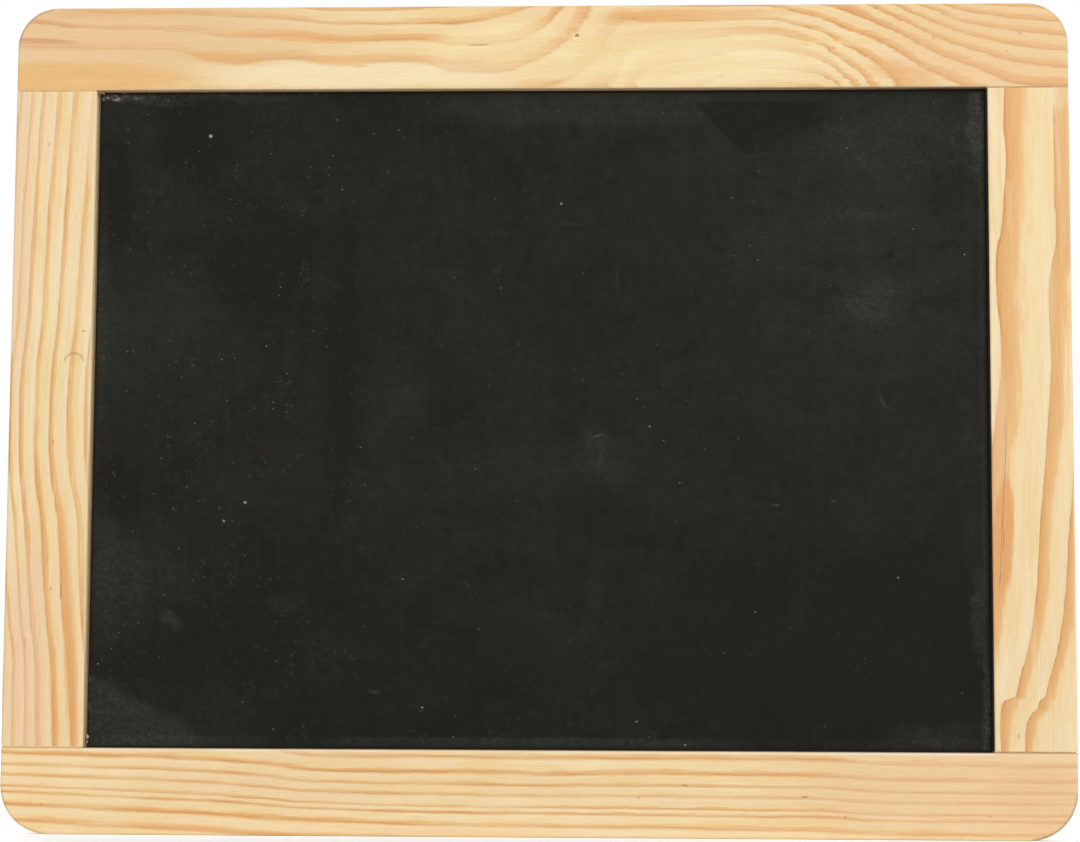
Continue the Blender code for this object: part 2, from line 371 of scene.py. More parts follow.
    def chance(self, value: Amount) -> Number:
        """A chance number for each whole number."""
        node = self.add("ShaderNodeTexWhiteNoise", {"noise_dimensions": "1D"}, {"W": value})
        return Number(self, node.outputs["Value"])

    def board_place(self) -> Place:
        """Where the surface is, in the board's own millimetres: X, depth from the front, height."""
        here = Place(self, self.add("ShaderNodeTexCoord").outputs["Object"])
        return here.scaled((MILLIMETRES,) * 3).moved(-BOARD_CENTRE)

    def facing(self) -> Place:
        """Which way the surface faces, in the object's own directions."""
        return Place(self, self.add("ShaderNodeTexCoord").outputs["Normal"])

    def finish(
        self,
        colour: Union[Tint, Colour],
        roughness: Amount,
        height: Number,
        depth: float,
        fixed: Optional[dict[str, float]] = None,
    ) -> bpy.types.Material:
        """Close the tree with a Principled shader.

        Args:
            colour: Base colour.
            roughness: Roughness.
            height: Relief, from nought to one.
            depth: How deep that relief is, in metres.
            fixed: Other sockets of the shader, the same all over.

        Returns:
            The material.
        """
        inputs: dict[Union[str, int], object] = {"Base Color": colour, "Roughness": roughness}
        inputs.update(fixed or {})
        bump = self.add("ShaderNodeBump", None, {"Height": height, "Strength": 1.0, "Distance": depth})
        inputs["Normal"] = bump.outputs[0]
        shader = self.add("ShaderNodeBsdfPrincipled", None, inputs)
        self.add("ShaderNodeOutputMaterial", None, {"Surface": shader.outputs[0]})
        return self.owner


@dataclass(frozen=True)
class Mark:
    """A small oval mark on a front face.

    Places and sizes are in the board's millimetres, the turn in degrees anticlockwise.
    """

    x: float
    z: float
    length: float
    width: float
    turn: float = 0.0
    strength: float = 1.0
    soft: float = 0.5

    def mask(self, nodes: Nodes, flat: Place) -> Number:
        """Draw the mark.

        Args:
            nodes: The tree to draw in.
            flat: Place across and up the board.

        Returns:
            The mark's strength inside it, nought outside.
        """
        inputs = {
            "Vector": flat,
            "Location": (self.x, self.z, 0.0),
            "Rotation": (0.0, 0.0, math.radians(self.turn)),
            "Scale": (self.length / 2, self.width / 2, 1.0),
        }
        turned = Place(nodes, nodes.add("ShaderNodeMapping", {"vector_type": "TEXTURE"}, inputs).outputs[0])
        return turned.length().rises(1.0 + self.soft / 2, 1.0 - self.soft / 2) * self.strength


@dataclass(frozen=True)
class Arc:
    """A curved scratch: the upper part of a ring, in the board's millimetres."""

    x: float
    z: float
    radius: float
    width: float
    strength: float

    def mask(self, nodes: Nodes, flat: Place) -> Number:
        """Draw the scratch.

        Args:
            nodes: The tree to draw in.
            flat: Place across and up the board.

        Returns:
            The scratch's strength on it, nought beside it.
        """
        reach = flat.moved((-self.x, -self.z, 0.0))
        on_ring = abs(reach.length() - self.radius).rises(self.width * 0.7, self.width * 0.3)
        return on_ring * reach.parts()[1].rises(0.1, 0.7) * self.strength


@dataclass(frozen=True)
class Patch:
    """A broad soft tint in the wood."""

    where: Mark
    colour: Colour


def strongest(numbers: Sequence[Number]) -> Number:
    """The strongest of several numbers at each place."""
    return reduce(Number.at_least, numbers)


def drawn(marks: Sequence[Union[Mark, Arc]], nodes: Nodes, flat: Place) -> Number:
    """The strongest of several marks at each place."""
    return strongest([mark.mask(nodes, flat) for mark in marks])


class Side(Enum):
    """Which side of the opening a batten is on."""

    TOP = "top"
    BOTTOM = "bottom"
    LEFT = "left"
    RIGHT = "right"

    @property
    def upright(self) -> bool:
        """Whether the batten stands upright."""
        return self in (Side.LEFT, Side.RIGHT)

    @property
    def batten_width(self) -> float:
        """The batten's width."""
        return STILE_WIDTH if self.upright else RAIL_WIDTH

    @property
    def half_opening(self) -> float:
        """Half the opening's length along the batten."""
        return OPENING_Z if self.upright else OPENING_X

    def from_opening(self, x: Number, z: Number) -> Number:
        """The distance outwards from the opening's edge, in millimetres."""
        outwards = -1.0 if self in (Side.BOTTOM, Side.LEFT) else 1.0
        return (x if self.upright else z) * outwards - (OPENING_X if self.upright else OPENING_Z)


@dataclass(frozen=True)
class Grain:
    """How the growth rings of one batten run.

    A ring's hard edge lies where the ring number is whole, and its dark wood where the number is a little
    higher. The rings are given at stations along the batten, on a line at the opening and one at the
    outside, and on a line between them where the rings bend most. Where lines isn't empty, the stations
    give how far the rings are shifted, in millimetres, and lines gives the ring number at distances from
    the opening.
    """

    stations: tuple[float, ...]
    opening: tuple[float, ...]
    outside: tuple[float, ...]
    between: tuple[float, ...] = ()
    lines: Points = ()
    through: float = 0.3
    dark_share_opening: Points = ((-1.0, 0.4), (1.0, 0.4))
    dark_share_outside: Points = ((-1.0, 0.4), (1.0, 0.4))
    wander: float = 0.4
    steps: float = 0.3
    jags: float = 1.8
    soft_edge: float = 0.08
    swell: float = 1.2


@dataclass(frozen=True)
class PineTones:
    """The colours of sanded pine, from a ring's hard edge outwards."""

    edge: Colour = paint("D39858")
    dark: Colour = paint("DCA465")
    tan: Colour = paint("E1AD70")
    gold: Colour = paint("E6B97D")
    yellow: Colour = paint("ECCA91")
    cream: Colour = paint("F1DDB3")
    honey: Colour = paint("EDCF95")
    pink: Colour = paint("EAC69B")
    red: Colour = paint("DA9663")
    line: Colour = paint("BC7B44")
    mark: Colour = paint("9C693A")
    # Pale fresh wood of the flecks, and the painted highlight along the arris
    pale_fleck_and_highlight: Colour = paint("FAE7C8")
    # Greyish brown of the darker rim round the rounded outer corners
    corner_rim: Colour = paint("8D7C68")
    brown: Colour = paint("7A5233")
    # Near-black brown of the painted shade on reveals that face away from the light
    painted_shade: Colour = paint("2A2019")
    end_grain: Colour = (0.84, 0.74, 0.6)

    def ring(self) -> list[tuple[float, Colour]]:
        """Stops of the ramp that runs from one hard edge towards the next."""
        tones = (self.edge, self.dark, self.tan, self.gold, self.yellow, self.cream)
        return list(zip((0.0, 0.08, 0.32, 0.62, 0.82, 1.0), tones))


@dataclass(frozen=True)
class Spot:
    """Where the surface is on a batten, in millimetres, and the unevenness that its layers share."""

    x: Number
    depth: Number
    z: Number
    along: Number
    across: Number
    here: Place
    ragged: Number
    shifted: Number
    frayed: Place
    streak: Number
    fibre: Number
    fuzz: Number


@dataclass(frozen=True)
class Pine:
    """Sanded bare pine of one batten.

    The reveal is the batten's inner face, towards the opening. The arris is the edge between it and the
    front.
    """

    side: Side
    grain: Grain
    seed: float
    warmth: Points
    marks: tuple[Union[Mark, Arc], ...] = ()
    flecks: tuple[Mark, ...] = ()
    bolder: tuple[Mark, ...] = ()
    fainter: tuple[Mark, ...] = ()
    patches: tuple[Patch, ...] = ()
    contrast: float = 0.8
    # How much the reveal darkens deeper in towards the panel: painted shade, with some grime
    reveal_grime_and_shade: float = 0.4
    # Painted shade on a reveal that faces away from the light: its strength, how far it reaches onto the
    # front, from what depth, and along which stretch
    reveal_shade: float = 0.0
    shade_reach: float = 0.0
    shade_depth: float = 0.4
    shade_along: Points = ()
    edge_line: float = 0.0
    edge_width: float = 0.12
    # How strong the painted highlight along the arris is, and where across the edge it lies
    arris_highlight: float = 0.5
    arris_highlight_at: float = -0.1
    corner_radius: float = 0.0
    # How light the batten's colour is made: painted light that evens out how the lamps and the floor light
    # the battens
    painted_lightness: float = 1.0
    relief_depth: float = 0.00012
    tones: PineTones = field(default_factory=PineTones)

    def _ring_number(self, nodes: Nodes, along: Number, across: Number, depth: Number) -> Number:
        """Number the growth rings.

        Args:
            nodes: The tree.
            along: Place along the batten.
            across: Distance from the opening's edge.
            depth: Distance behind the front.

        Returns:
            The ring number, whole at each hard edge.
        """
        grain = self.grain
        share = across / self.side.batten_width
        opening = nodes.curve(along, list(zip(grain.stations, grain.opening)))
        outside = nodes.curve(along, list(zip(grain.stations, grain.outside)))
        if grain.lines:
            shift = opening + (outside - opening) * share
            front = nodes.curve(across + shift, grain.lines, straight_on=True)
        else:
            between = nodes.curve(along, list(zip(grain.stations, grain.between)))
            held = share.limited()
            first = opening * (held - 0.5) * (held - 1.0) * 2.0
            second = between * held * (1.0 - held) * 4.0
            third = outside * held * (held - 0.5) * 2.0
            front = first + second + third + (share - held) * 6.0
        return front + depth * grain.through + depth * depth * 0.004

    def _spot(self, nodes: Nodes) -> Spot:
        """Find the place on the batten.

        Args:
            nodes: The tree.

        Returns:
            The place and its unevenness.
        """
        x, depth, z = nodes.board_place().parts()
        upright = self.side.upright
        along = z if upright else x
        across = self.side.from_opening(x, z)
        here = nodes.join(along, across, depth).moved((self.seed * 10.0, 0.0, 0.0))
        ragged = nodes.noise(here.in_cells(9, 0.7, 0.7), 2.0, 0.6) - 0.5
        torn = nodes.noise(here.in_cells(8, 0.8, 0.8).moved((5.0, 2.0, 0.0)), 3.0, 0.7) - 0.5
        shifted = along + torn * (2 * self.grain.jags)
        bend = ragged * 1.6
        frayed = nodes.join(x + bend, shifted, 0.0) if upright else nodes.join(shifted, z + bend, 0.0)
        streak = nodes.noise(here.in_cells(30, 1.9, 1.9), 3.0, 0.6)
        fibre = nodes.noise(here.in_cells(9, 0.34, 0.34), 3.0, 0.65)
        fuzz = nodes.noise(here.in_cells(1.6, 0.16, 0.16), 2.0, 0.6)
        return Spot(x, depth, z, along, across, here, ragged, shifted, frayed, streak, fibre, fuzz)

    def _dark_share(self, nodes: Nodes, spot: Spot, luck: Number) -> Number:
        """Find how much of each ring is dark wood.

        Args:
            nodes: The tree.
            spot: The place on the batten.
            luck: A chance number of each ring.

        Returns:
            The share.
        """
        at_opening = nodes.curve(spot.along, self.grain.dark_share_opening)
        at_outside = nodes.curve(spot.along, self.grain.dark_share_outside)
        share = (spot.across / self.side.batten_width).limited()
        uneven = nodes.noise(spot.here.in_cells(11, 2.4, 2.4).moved((0.0, 9.0, 4.0)), 3.0) - 0.5
        varied = 0.86 + luck * 0.2 + uneven * self.grain.swell
        return ((at_opening + (at_outside - at_opening) * share) * varied).at_least(0.05)

    def _strength(self, nodes: Nodes, spot: Spot, luck: Number) -> Number:
        """Find how boldly the rings show.

        Args:
            nodes: The tree.
            spot: The place on the batten.
            luck: A chance number of each ring.

        Returns:
            Their strength.
        """
        strength = self.contrast * (0.75 + luck * 0.45) * (0.85 + (spot.streak - 0.5) * 2.4)
        strength = strength.at_least(0.1)
        if self.bolder:
            strength = strength * (1.0 + drawn(self.bolder, nodes, spot.frayed))
        if self.fainter:
            strength = strength * (1.0 - drawn(self.fainter, nodes, spot.frayed))
        return strength

    def _early_wood(self, nodes: Nodes, spot: Spot, rings: Number) -> Tint:
        """Colour the pale wood between the rings.

        Args:
            nodes: The tree.
            spot: The place on the batten.
            rings: The ring number.

        Returns:
            The pale wood's colour.
        """
        cloud = nodes.noise(spot.here.in_cells(48, 6, 6).moved((7.0, 3.0, 0.0)), 2.0)
        warm = (nodes.curve(spot.along, self.warmth) + (cloud - 0.5) * 1.5).limited()
        sun = nodes.noise(spot.here.in_cells(26, 2.4, 2.4).moved((1.0, 8.0, 2.0)), 3.0, 0.55)
        early = nodes.mix(self.tones.cream, self.tones.pink, warm * 0.8)
        early = early.towards(self.tones.honey, sun.rises(0.44, 0.68) * 0.85)
        hair = nodes.noise(nodes.join(spot.along * 0.02, rings * 7.0, self.seed), 3.0, 0.7)
        return early.times(1.0 - hair.rises(0.5, 0.75) * 0.06)

    def _grown(self, nodes: Nodes, spot: Spot) -> tuple[Tint, Number]:
        """Colour the wood as it grew.

        Args:
            nodes: The tree.
            spot: The place on the batten.

        Returns:
            The wood's colour, and one on dark wood and nought on pale.
        """
        tones = self.tones
        slow = nodes.noise(spot.here.in_cells(24, 9, 9), 2.0) - 0.5
        wandering = spot.across + slow * (2 * self.grain.wander) + spot.ragged * (2 * self.grain.steps)
        rings = self._ring_number(nodes, spot.shifted, wandering, spot.depth)
        within = rings.fraction()
        luck = nodes.chance(rings.floor() + self.seed)
        reach = within / self._dark_share(nodes, spot, luck)
        late = reach.rises(1.2, 0.8)
        strength = self._strength(nodes, spot, luck)
        shown = strength.limited()
        wood = self._early_wood(nodes, spot, rings)
        wood = wood.towards(tones.yellow, reach.rises(2.6, 0.9) * shown * 0.55)
        wood = wood.towards(nodes.ramp((reach / 1.25).limited(), tones.ring()), late * shown)
        wood = wood.towards(tones.dark, within.rises(1.0 - self.grain.soft_edge, 1.0) * shown)
        wood = wood.towards(tones.red, (luck - 0.6).at_least(0.0) * late * 0.6)
        if self.edge_line:
            line = within.rises(self.edge_width, self.edge_width * 0.3) * self.edge_line
            line = line * spot.streak.rises(0.4, 0.6) * ((strength - 0.4) * 2.0).limited()
            wood = wood.towards(tones.line, line)
        for patch in self.patches:
            tinted = patch.where.mask(nodes, spot.frayed) * (0.6 + spot.streak * 0.8)
            wood = wood.towards(patch.colour, tinted)
        return wood, late

    def _end_grain(self, nodes: Nodes, wood: Tint) -> Tint:
        """Darken the faces that cut across the fibres, and open their pores.

        Args:
            nodes: The tree.
            wood: The colour so far.

        Returns:
            The new colour.
        """
        facing = nodes.facing().parts()[2 if self.side.upright else 0]
        end = abs(facing).rises(0.55, 0.95)
        pore_distance, _ = nodes.cells(nodes.board_place().scaled((3.1, 3.1, 3.1)))
        wood = wood.towards(self.tones.end_grain, end * 0.75, "MULTIPLY")
        return wood.towards(self.tones.brown, end * pore_distance.rises(0.3, 0.1) * 0.3)

    def _marked(self, nodes: Nodes, spot: Spot, wood: Tint) -> Tint:
        """Draw the front's marks and flecks and a greyish darker rim round the rounded outer corners.

        Args:
            nodes: The tree.
            spot: The place on the batten.
            wood: The colour so far.

        Returns:
            The new colour.
        """
        flat = nodes.join(spot.x, spot.z, 0.0)
        on_front = spot.depth.rises(1.0, 0.6)
        if self.marks:
            marked = drawn(self.marks, nodes, flat) * on_front * (0.85 + spot.ragged * 1.2).limited()
            wood = wood.towards(self.tones.mark, marked)
        if self.flecks:
            wood = wood.towards(self.tones.pale_fleck_and_highlight, drawn(self.flecks, nodes, flat) * on_front)
        if not self.corner_radius:
            return wood
        from_x = (abs(spot.x) - (HALF_WIDTH - self.corner_radius)).at_least(0.0)
        from_z = (abs(spot.z) - (HALF_HEIGHT - self.corner_radius)).at_least(0.0)
        inside = self.corner_radius - nodes.join(from_x, from_z, 0.0).length()
        # A greyish darker rim round the rounded outer corners, strongest at the upper left and lower right
        corner_rim = inside.rises(0.8, 0.35) * from_x.at_most(from_z).rises(0.0, 1.5)
        corner_rim = corner_rim * spot.depth.rises(0.7, 0.3)
        held = 0.35 + (spot.x * spot.z).rises(6000.0, -6000.0) * 0.65
        return wood.towards(self.tones.corner_rim, (corner_rim * held * (0.25 + spot.fibre * 0.4)).limited())

    def _inner_edge(self, nodes: Nodes, spot: Spot, wood: Tint) -> Tint:
        """Paint a highlight on the arris, and paint shade with some grime into the reveal.

        Args:
            nodes: The tree.
            spot: The place on the batten.
            wood: The colour so far.

        Returns:
            The new colour.
        """
        across, depth = spot.across, spot.depth
        half = self.side.half_opening
        # Painted highlight: a pale line along the arris and the front of the reveal, where the edge catches
        # the light
        arris = abs(across - self.arris_highlight_at).rises(0.5, 0.2) * depth.rises(1.4, 0.5)
        arris = arris * spot.streak.rises(0.36, 0.56) * abs(spot.along).rises(half + 0.4, half - 0.2)
        wood = wood.towards(self.tones.pale_fleck_and_highlight, arris * self.arris_highlight)
        reveal = across.rises(-0.6, -0.1) * depth.rises(3.6, 3.2)
        # Darker deeper in the reveal towards the panel: painted shade, with some grime
        reveal_grime_and_shade = reveal * across.rises(0.3, 0.02) * depth.rises(0.9, 2.9) * (1.0 + (spot.fuzz - 0.5) * 0.8)
        wood = wood.towards(self.tones.brown, (reveal_grime_and_shade * self.reveal_grime_and_shade).limited())
        if not self.reveal_shade:
            return wood
        # Painted shade: a reveal that faces away from the light, darkened nearly to black up to its front
        # edge
        shade_mask = reveal * across.rises(self.shade_reach + 0.3, self.shade_reach)
        shade_mask = shade_mask * depth.rises(self.shade_depth, self.shade_depth + 1.2) * self.reveal_shade
        if self.shade_along:
            shade_mask = shade_mask * nodes.curve(spot.along, self.shade_along)
        return wood.towards(self.tones.painted_shade, (shade_mask * (0.8 + spot.fibre * 0.5)).limited())

    def material(self) -> bpy.types.Material:
        """Make the batten's material.

        Returns:
            The material.
        """
        nodes = Nodes(f"pine_{self.side.value}")
        spot = self._spot(nodes)
        wood, late = self._grown(nodes, spot)
        rough_fibre, rough_fuzz = spot.fibre - 0.5, spot.fuzz - 0.5
        wood = wood.times(self.painted_lightness + rough_fibre * 0.2 + rough_fuzz * 0.16)
        distance, chance = nodes.cells(spot.here.in_cells(6.5, 1.1, 1.1).moved((0.0, self.seed, 0.0)))
        dash = distance.rises(0.2, 0.06) * chance.rises(0.88, 0.93)
        wood = wood.towards(self.tones.mark, dash * 0.2)
        wood = self._end_grain(nodes, wood)
        wood = self._marked(nodes, spot, wood)
        wood = self._inner_edge(nodes, spot, wood)
        relief = 0.45 + late * 0.25 + rough_fibre * 0.5 + rough_fuzz * 0.5 - dash * 0.2
        roughness = 0.62 - late * 0.1 + rough_fibre * 0.14
        return nodes.finish(wood, roughness, relief, self.relief_depth, {"Specular IOR Level": 0.3})


@dataclass(frozen=True)
class Speck:
    """A grain of chalk on the panel, in the board's millimetres."""

    x: float
    z: float
    radius: float = 0.2

    def mask(self, flat: Place) -> Number:
        """Draw the grain: bigger grains are brighter."""
        reach = flat.moved((-self.x, -self.z, 0.0)).length()
        return (1.7 - reach * (1.7 / self.radius)).limited() * min(1.6, 3.0 * self.radius)


# Where dust has stayed, where the panel is wiped cleanest, its scrapes and its brightest grains of chalk
HAZE = (
    Mark(-98.5, 26, 7, 56, 0, 0.16, 1.4),
    Mark(-100.0, 26, 3.4, 60, 0, 0.4, 1.1),
    Mark(-99, -32, 7, 40, 0, 0.34, 1.2),
    Mark(-84, 51, 16, 14, 20, 0.22, 1.5),
    Mark(-88, 22, 26, 20, 10, 0.16, 1.6),
    Mark(-92, -37, 22, 20, -30, 0.36, 1.5),
    Mark(-56, -42.5, 8, 5, 0, 0.35, 1.2),
    Mark(-31, 2, 10, 22, -12, 0.2, 1.5),
    Mark(0, -11, 60, 12, 5, 0.16, 1.4),
    Mark(78, 48, 84, 84, 0, 0.24, 1.2),
    Mark(84, 62, 36, 18, 0, 0.22, 0.7),
    Mark(75.5, 26, 11, 11, 0, 0.5, 1.5),
    Mark(73, 46, 16, 3, 4, 0.25, 1.4),
    Mark(14, -8, 6, 14, 10, 0.25, 1.5),
    Mark(98.8, -12, 6, 40, 0, 0.26, 1.6),
    Mark(99.2, -44, 4, 18, 0, 0.7, 0.9),
    Mark(100.3, -66, 2.2, 24, 0, 1.0, 1.0),
    Mark(89, -71.5, 20, 6, 0, 0.4, 1.2),
    Mark(10, 71, 60, 8, 0, 0.4, 1.0),
    Mark(-82, 73.8, 44, 3.0, 0, 0.55, 1.1),
    Mark(-97, 74, 12, 3.4, 0, 0.5, 0.9),
    # Dust at the right edge, also painted light against the shadow of the right stile
    Mark(99.6, 66, 4, 22, 0, 0.8, 1.1),
    Mark(13, -41, 3, 16, -12, 0.22, 1.5),
    Mark(-82, -46.4, 6, 2.2, -35, 0.5, 1.2),
)
WIPED = (
    Mark(-44, 12, 7, 52, 0, 0.28, 1.4),
    Mark(-81, 64, 12, 26, 10, 0.34, 1.4),
    Mark(-97, 50, 6, 26, 0, 0.3, 1.4),
    Mark(72, -56, 90, 44, 0, 0.26, 1.5),
    Mark(-30, -66, 90, 20, 0, 0.18, 1.5),
    Mark(-96, -17, 9, 12, 0, 0.34, 1.2),
    Mark(90, 55, 12, 16, 20, 0.22, 0.8),
    Mark(-66, 36, 24, 20, 0, 0.22, 1.5),
    Mark(-66, -50, 66, 46, 0, 0.16, 1.5),
)
SCRAPES = (
    Mark(77.8, 3.4, 2.6, 0.7, -60, 0.1, 1.4),
    Mark(78.8, 2.2, 1.6, 0.6, -30, 0.08, 1.4),
    Mark(18, 31, 9, 0.8, 90, 0.035, 1.6),
    Mark(-36.5, -62.2, 2.6, 0.9, -8, 0.1, 1.2),
    Mark(-96.3, -13.2, 1.6, 0.4, -60, 0.16, 1.2),
    Mark(8, 44, 5, 0.9, -4, 0.045, 1.6),
    Mark(-26.5, 0, 10, 1.8, -66, 0.02, 1.8),
    Mark(-21, -12, 10, 1.6, -58, 0.018, 1.8),
    Mark(53.8, -20, 1.6, 0.7, 0, 0.12, 1.2),
    Mark(66.6, -19, 1.2, 0.6, 0, 0.1, 1.2),
    Mark(13.6, -4.4, 2.2, 0.5, 20, 0.12, 1.2),
    Mark(14.2, -10, 5, 0.5, 84, 0.06, 1.4),
)
GRAINS = tuple(Speck(*row) for row in (
    (-75.5, 64.8, 0.48), (-46.4, 68.4), (-47.1, 60.1), (-45.0, 52.2, 0.24), (-32.1, 66.0),
    (-31.0, 64.5, 0.16), (-52.2, 57.4, 0.16), (-10.0, 50.0), (-54.1, 46.2, 0.16), (-89.6, 47.1, 0.16),
    (-19.1, 31.8, 0.16), (-51.0, 19.5, 0.14), (-61.9, 16.1, 0.24), (-72.1, 13.0), (-57.0, 9.8),
    (-60.1, 3.2), (-93.8, 14.9), (-93.8, 5.8), (-11.1, 7.0, 0.16), (-40.1, -7.1, 0.22),
    (-66.2, -19.6, 0.4), (-71.0, -23.8, 0.36), (-30.2, -36.9, 0.26), (-14.0, -11.9, 0.18),
    (-76.9, -19.4, 0.16), (-84.4, -40.6), (-38.8, -47.6, 0.16), (-85.1, -54.6, 0.18), (-25.5, -65.6, 0.3),
    (-13.0, -48.0, 0.18), (-99.0, -56.2, 0.24), (-18.5, -72.1), (5.2, 48.8, 0.34), (70.1, 61.5),
    (68.8, 68.2, 0.16), (90.0, 72.0, 0.18), (44.1, 50.1), (50.1, 56.2, 0.16), (59.4, 53.6, 0.16),
    (48.0, 39.1), (49.9, 35.8), (44.5, 36.8, 0.16), (85.0, 42.9), (96.5, 37.0, 0.24), (66.2, 29.8, 0.18),
    (26.9, 16.5, 0.16), (10.2, 8.4), (22.5, 4.1), (25.4, -2.2, 0.26), (28.6, -5.4, 0.2),
    (37.8, -7.4, 0.18), (45.4, -4.9, 0.18), (32.2, -15.0), (81.0, -36.2, 0.3), (49.1, -44.0, 0.26),
    (22.6, -68.6, 0.3), (33.4, -73.6, 0.3), (95.0, -61.8), (10.2, 32.8, 0.18), (16.5, 63.1, 0.16),
))
# How thick the fine grains lie from left to right
LEFTNESS = ((-101, 0.65), (-62, 0.72), (-40, 0.52), (0, 0.35), (60, 0.31), (101, 0.22))
# How thick dust lies in a band above the lower rail, from left to right
LOWER_BAND = (
    (-101, 0.3), (-70, 0.4), (-55, 0.1), (-40, 0.5), (10, 0.6), (40, 0.35), (60, 0.15), (80, 0.3), (101, 0.4),
)
# Chips and dents in the upper left corner, where the panel was pushed in
CHIPS = (
    Mark(-99.9, 73.8, 2.2, 1.1, 20, 0.7, 0.9),
    Mark(-97.7, 73.6, 1.8, 1.3, -30, 1.0, 0.9),
    Mark(-95.6, 74.1, 1.8, 0.6, 0, 0.5, 0.9),
)
DENTS = (Mark(-99.5, 74.7, 2.4, 0.5, 12, 0.9, 0.6), Mark(-98.6, 72.7, 4.8, 0.3, -2, 0.8, 0.8))
# Where the panel's edge is worn bare
WORN = (
    Mark(-96, 74.2, 16, 2.0, 0, 1.0, 0.8),
    Mark(-78, 74.6, 60, 1.2, 0, 0.5, 0.9),
    Mark(101, -68, 20, 1.6, 90, 0.9, 0.8),
    Mark(100.6, 68, 18, 2.2, 90, 0.6, 0.9),
    Mark(-101, -66, 22, 1.4, 90, 0.6, 0.9),
)
# A greasy dark spot, and where the black is a little brown
SMUT = Mark(79.8, 36.8, 2.0, 1.2, 40, 0.5, 1.2)
UMBER_AREA = Mark(-62, -14, 60, 40, 0, 0.5, 1.5)


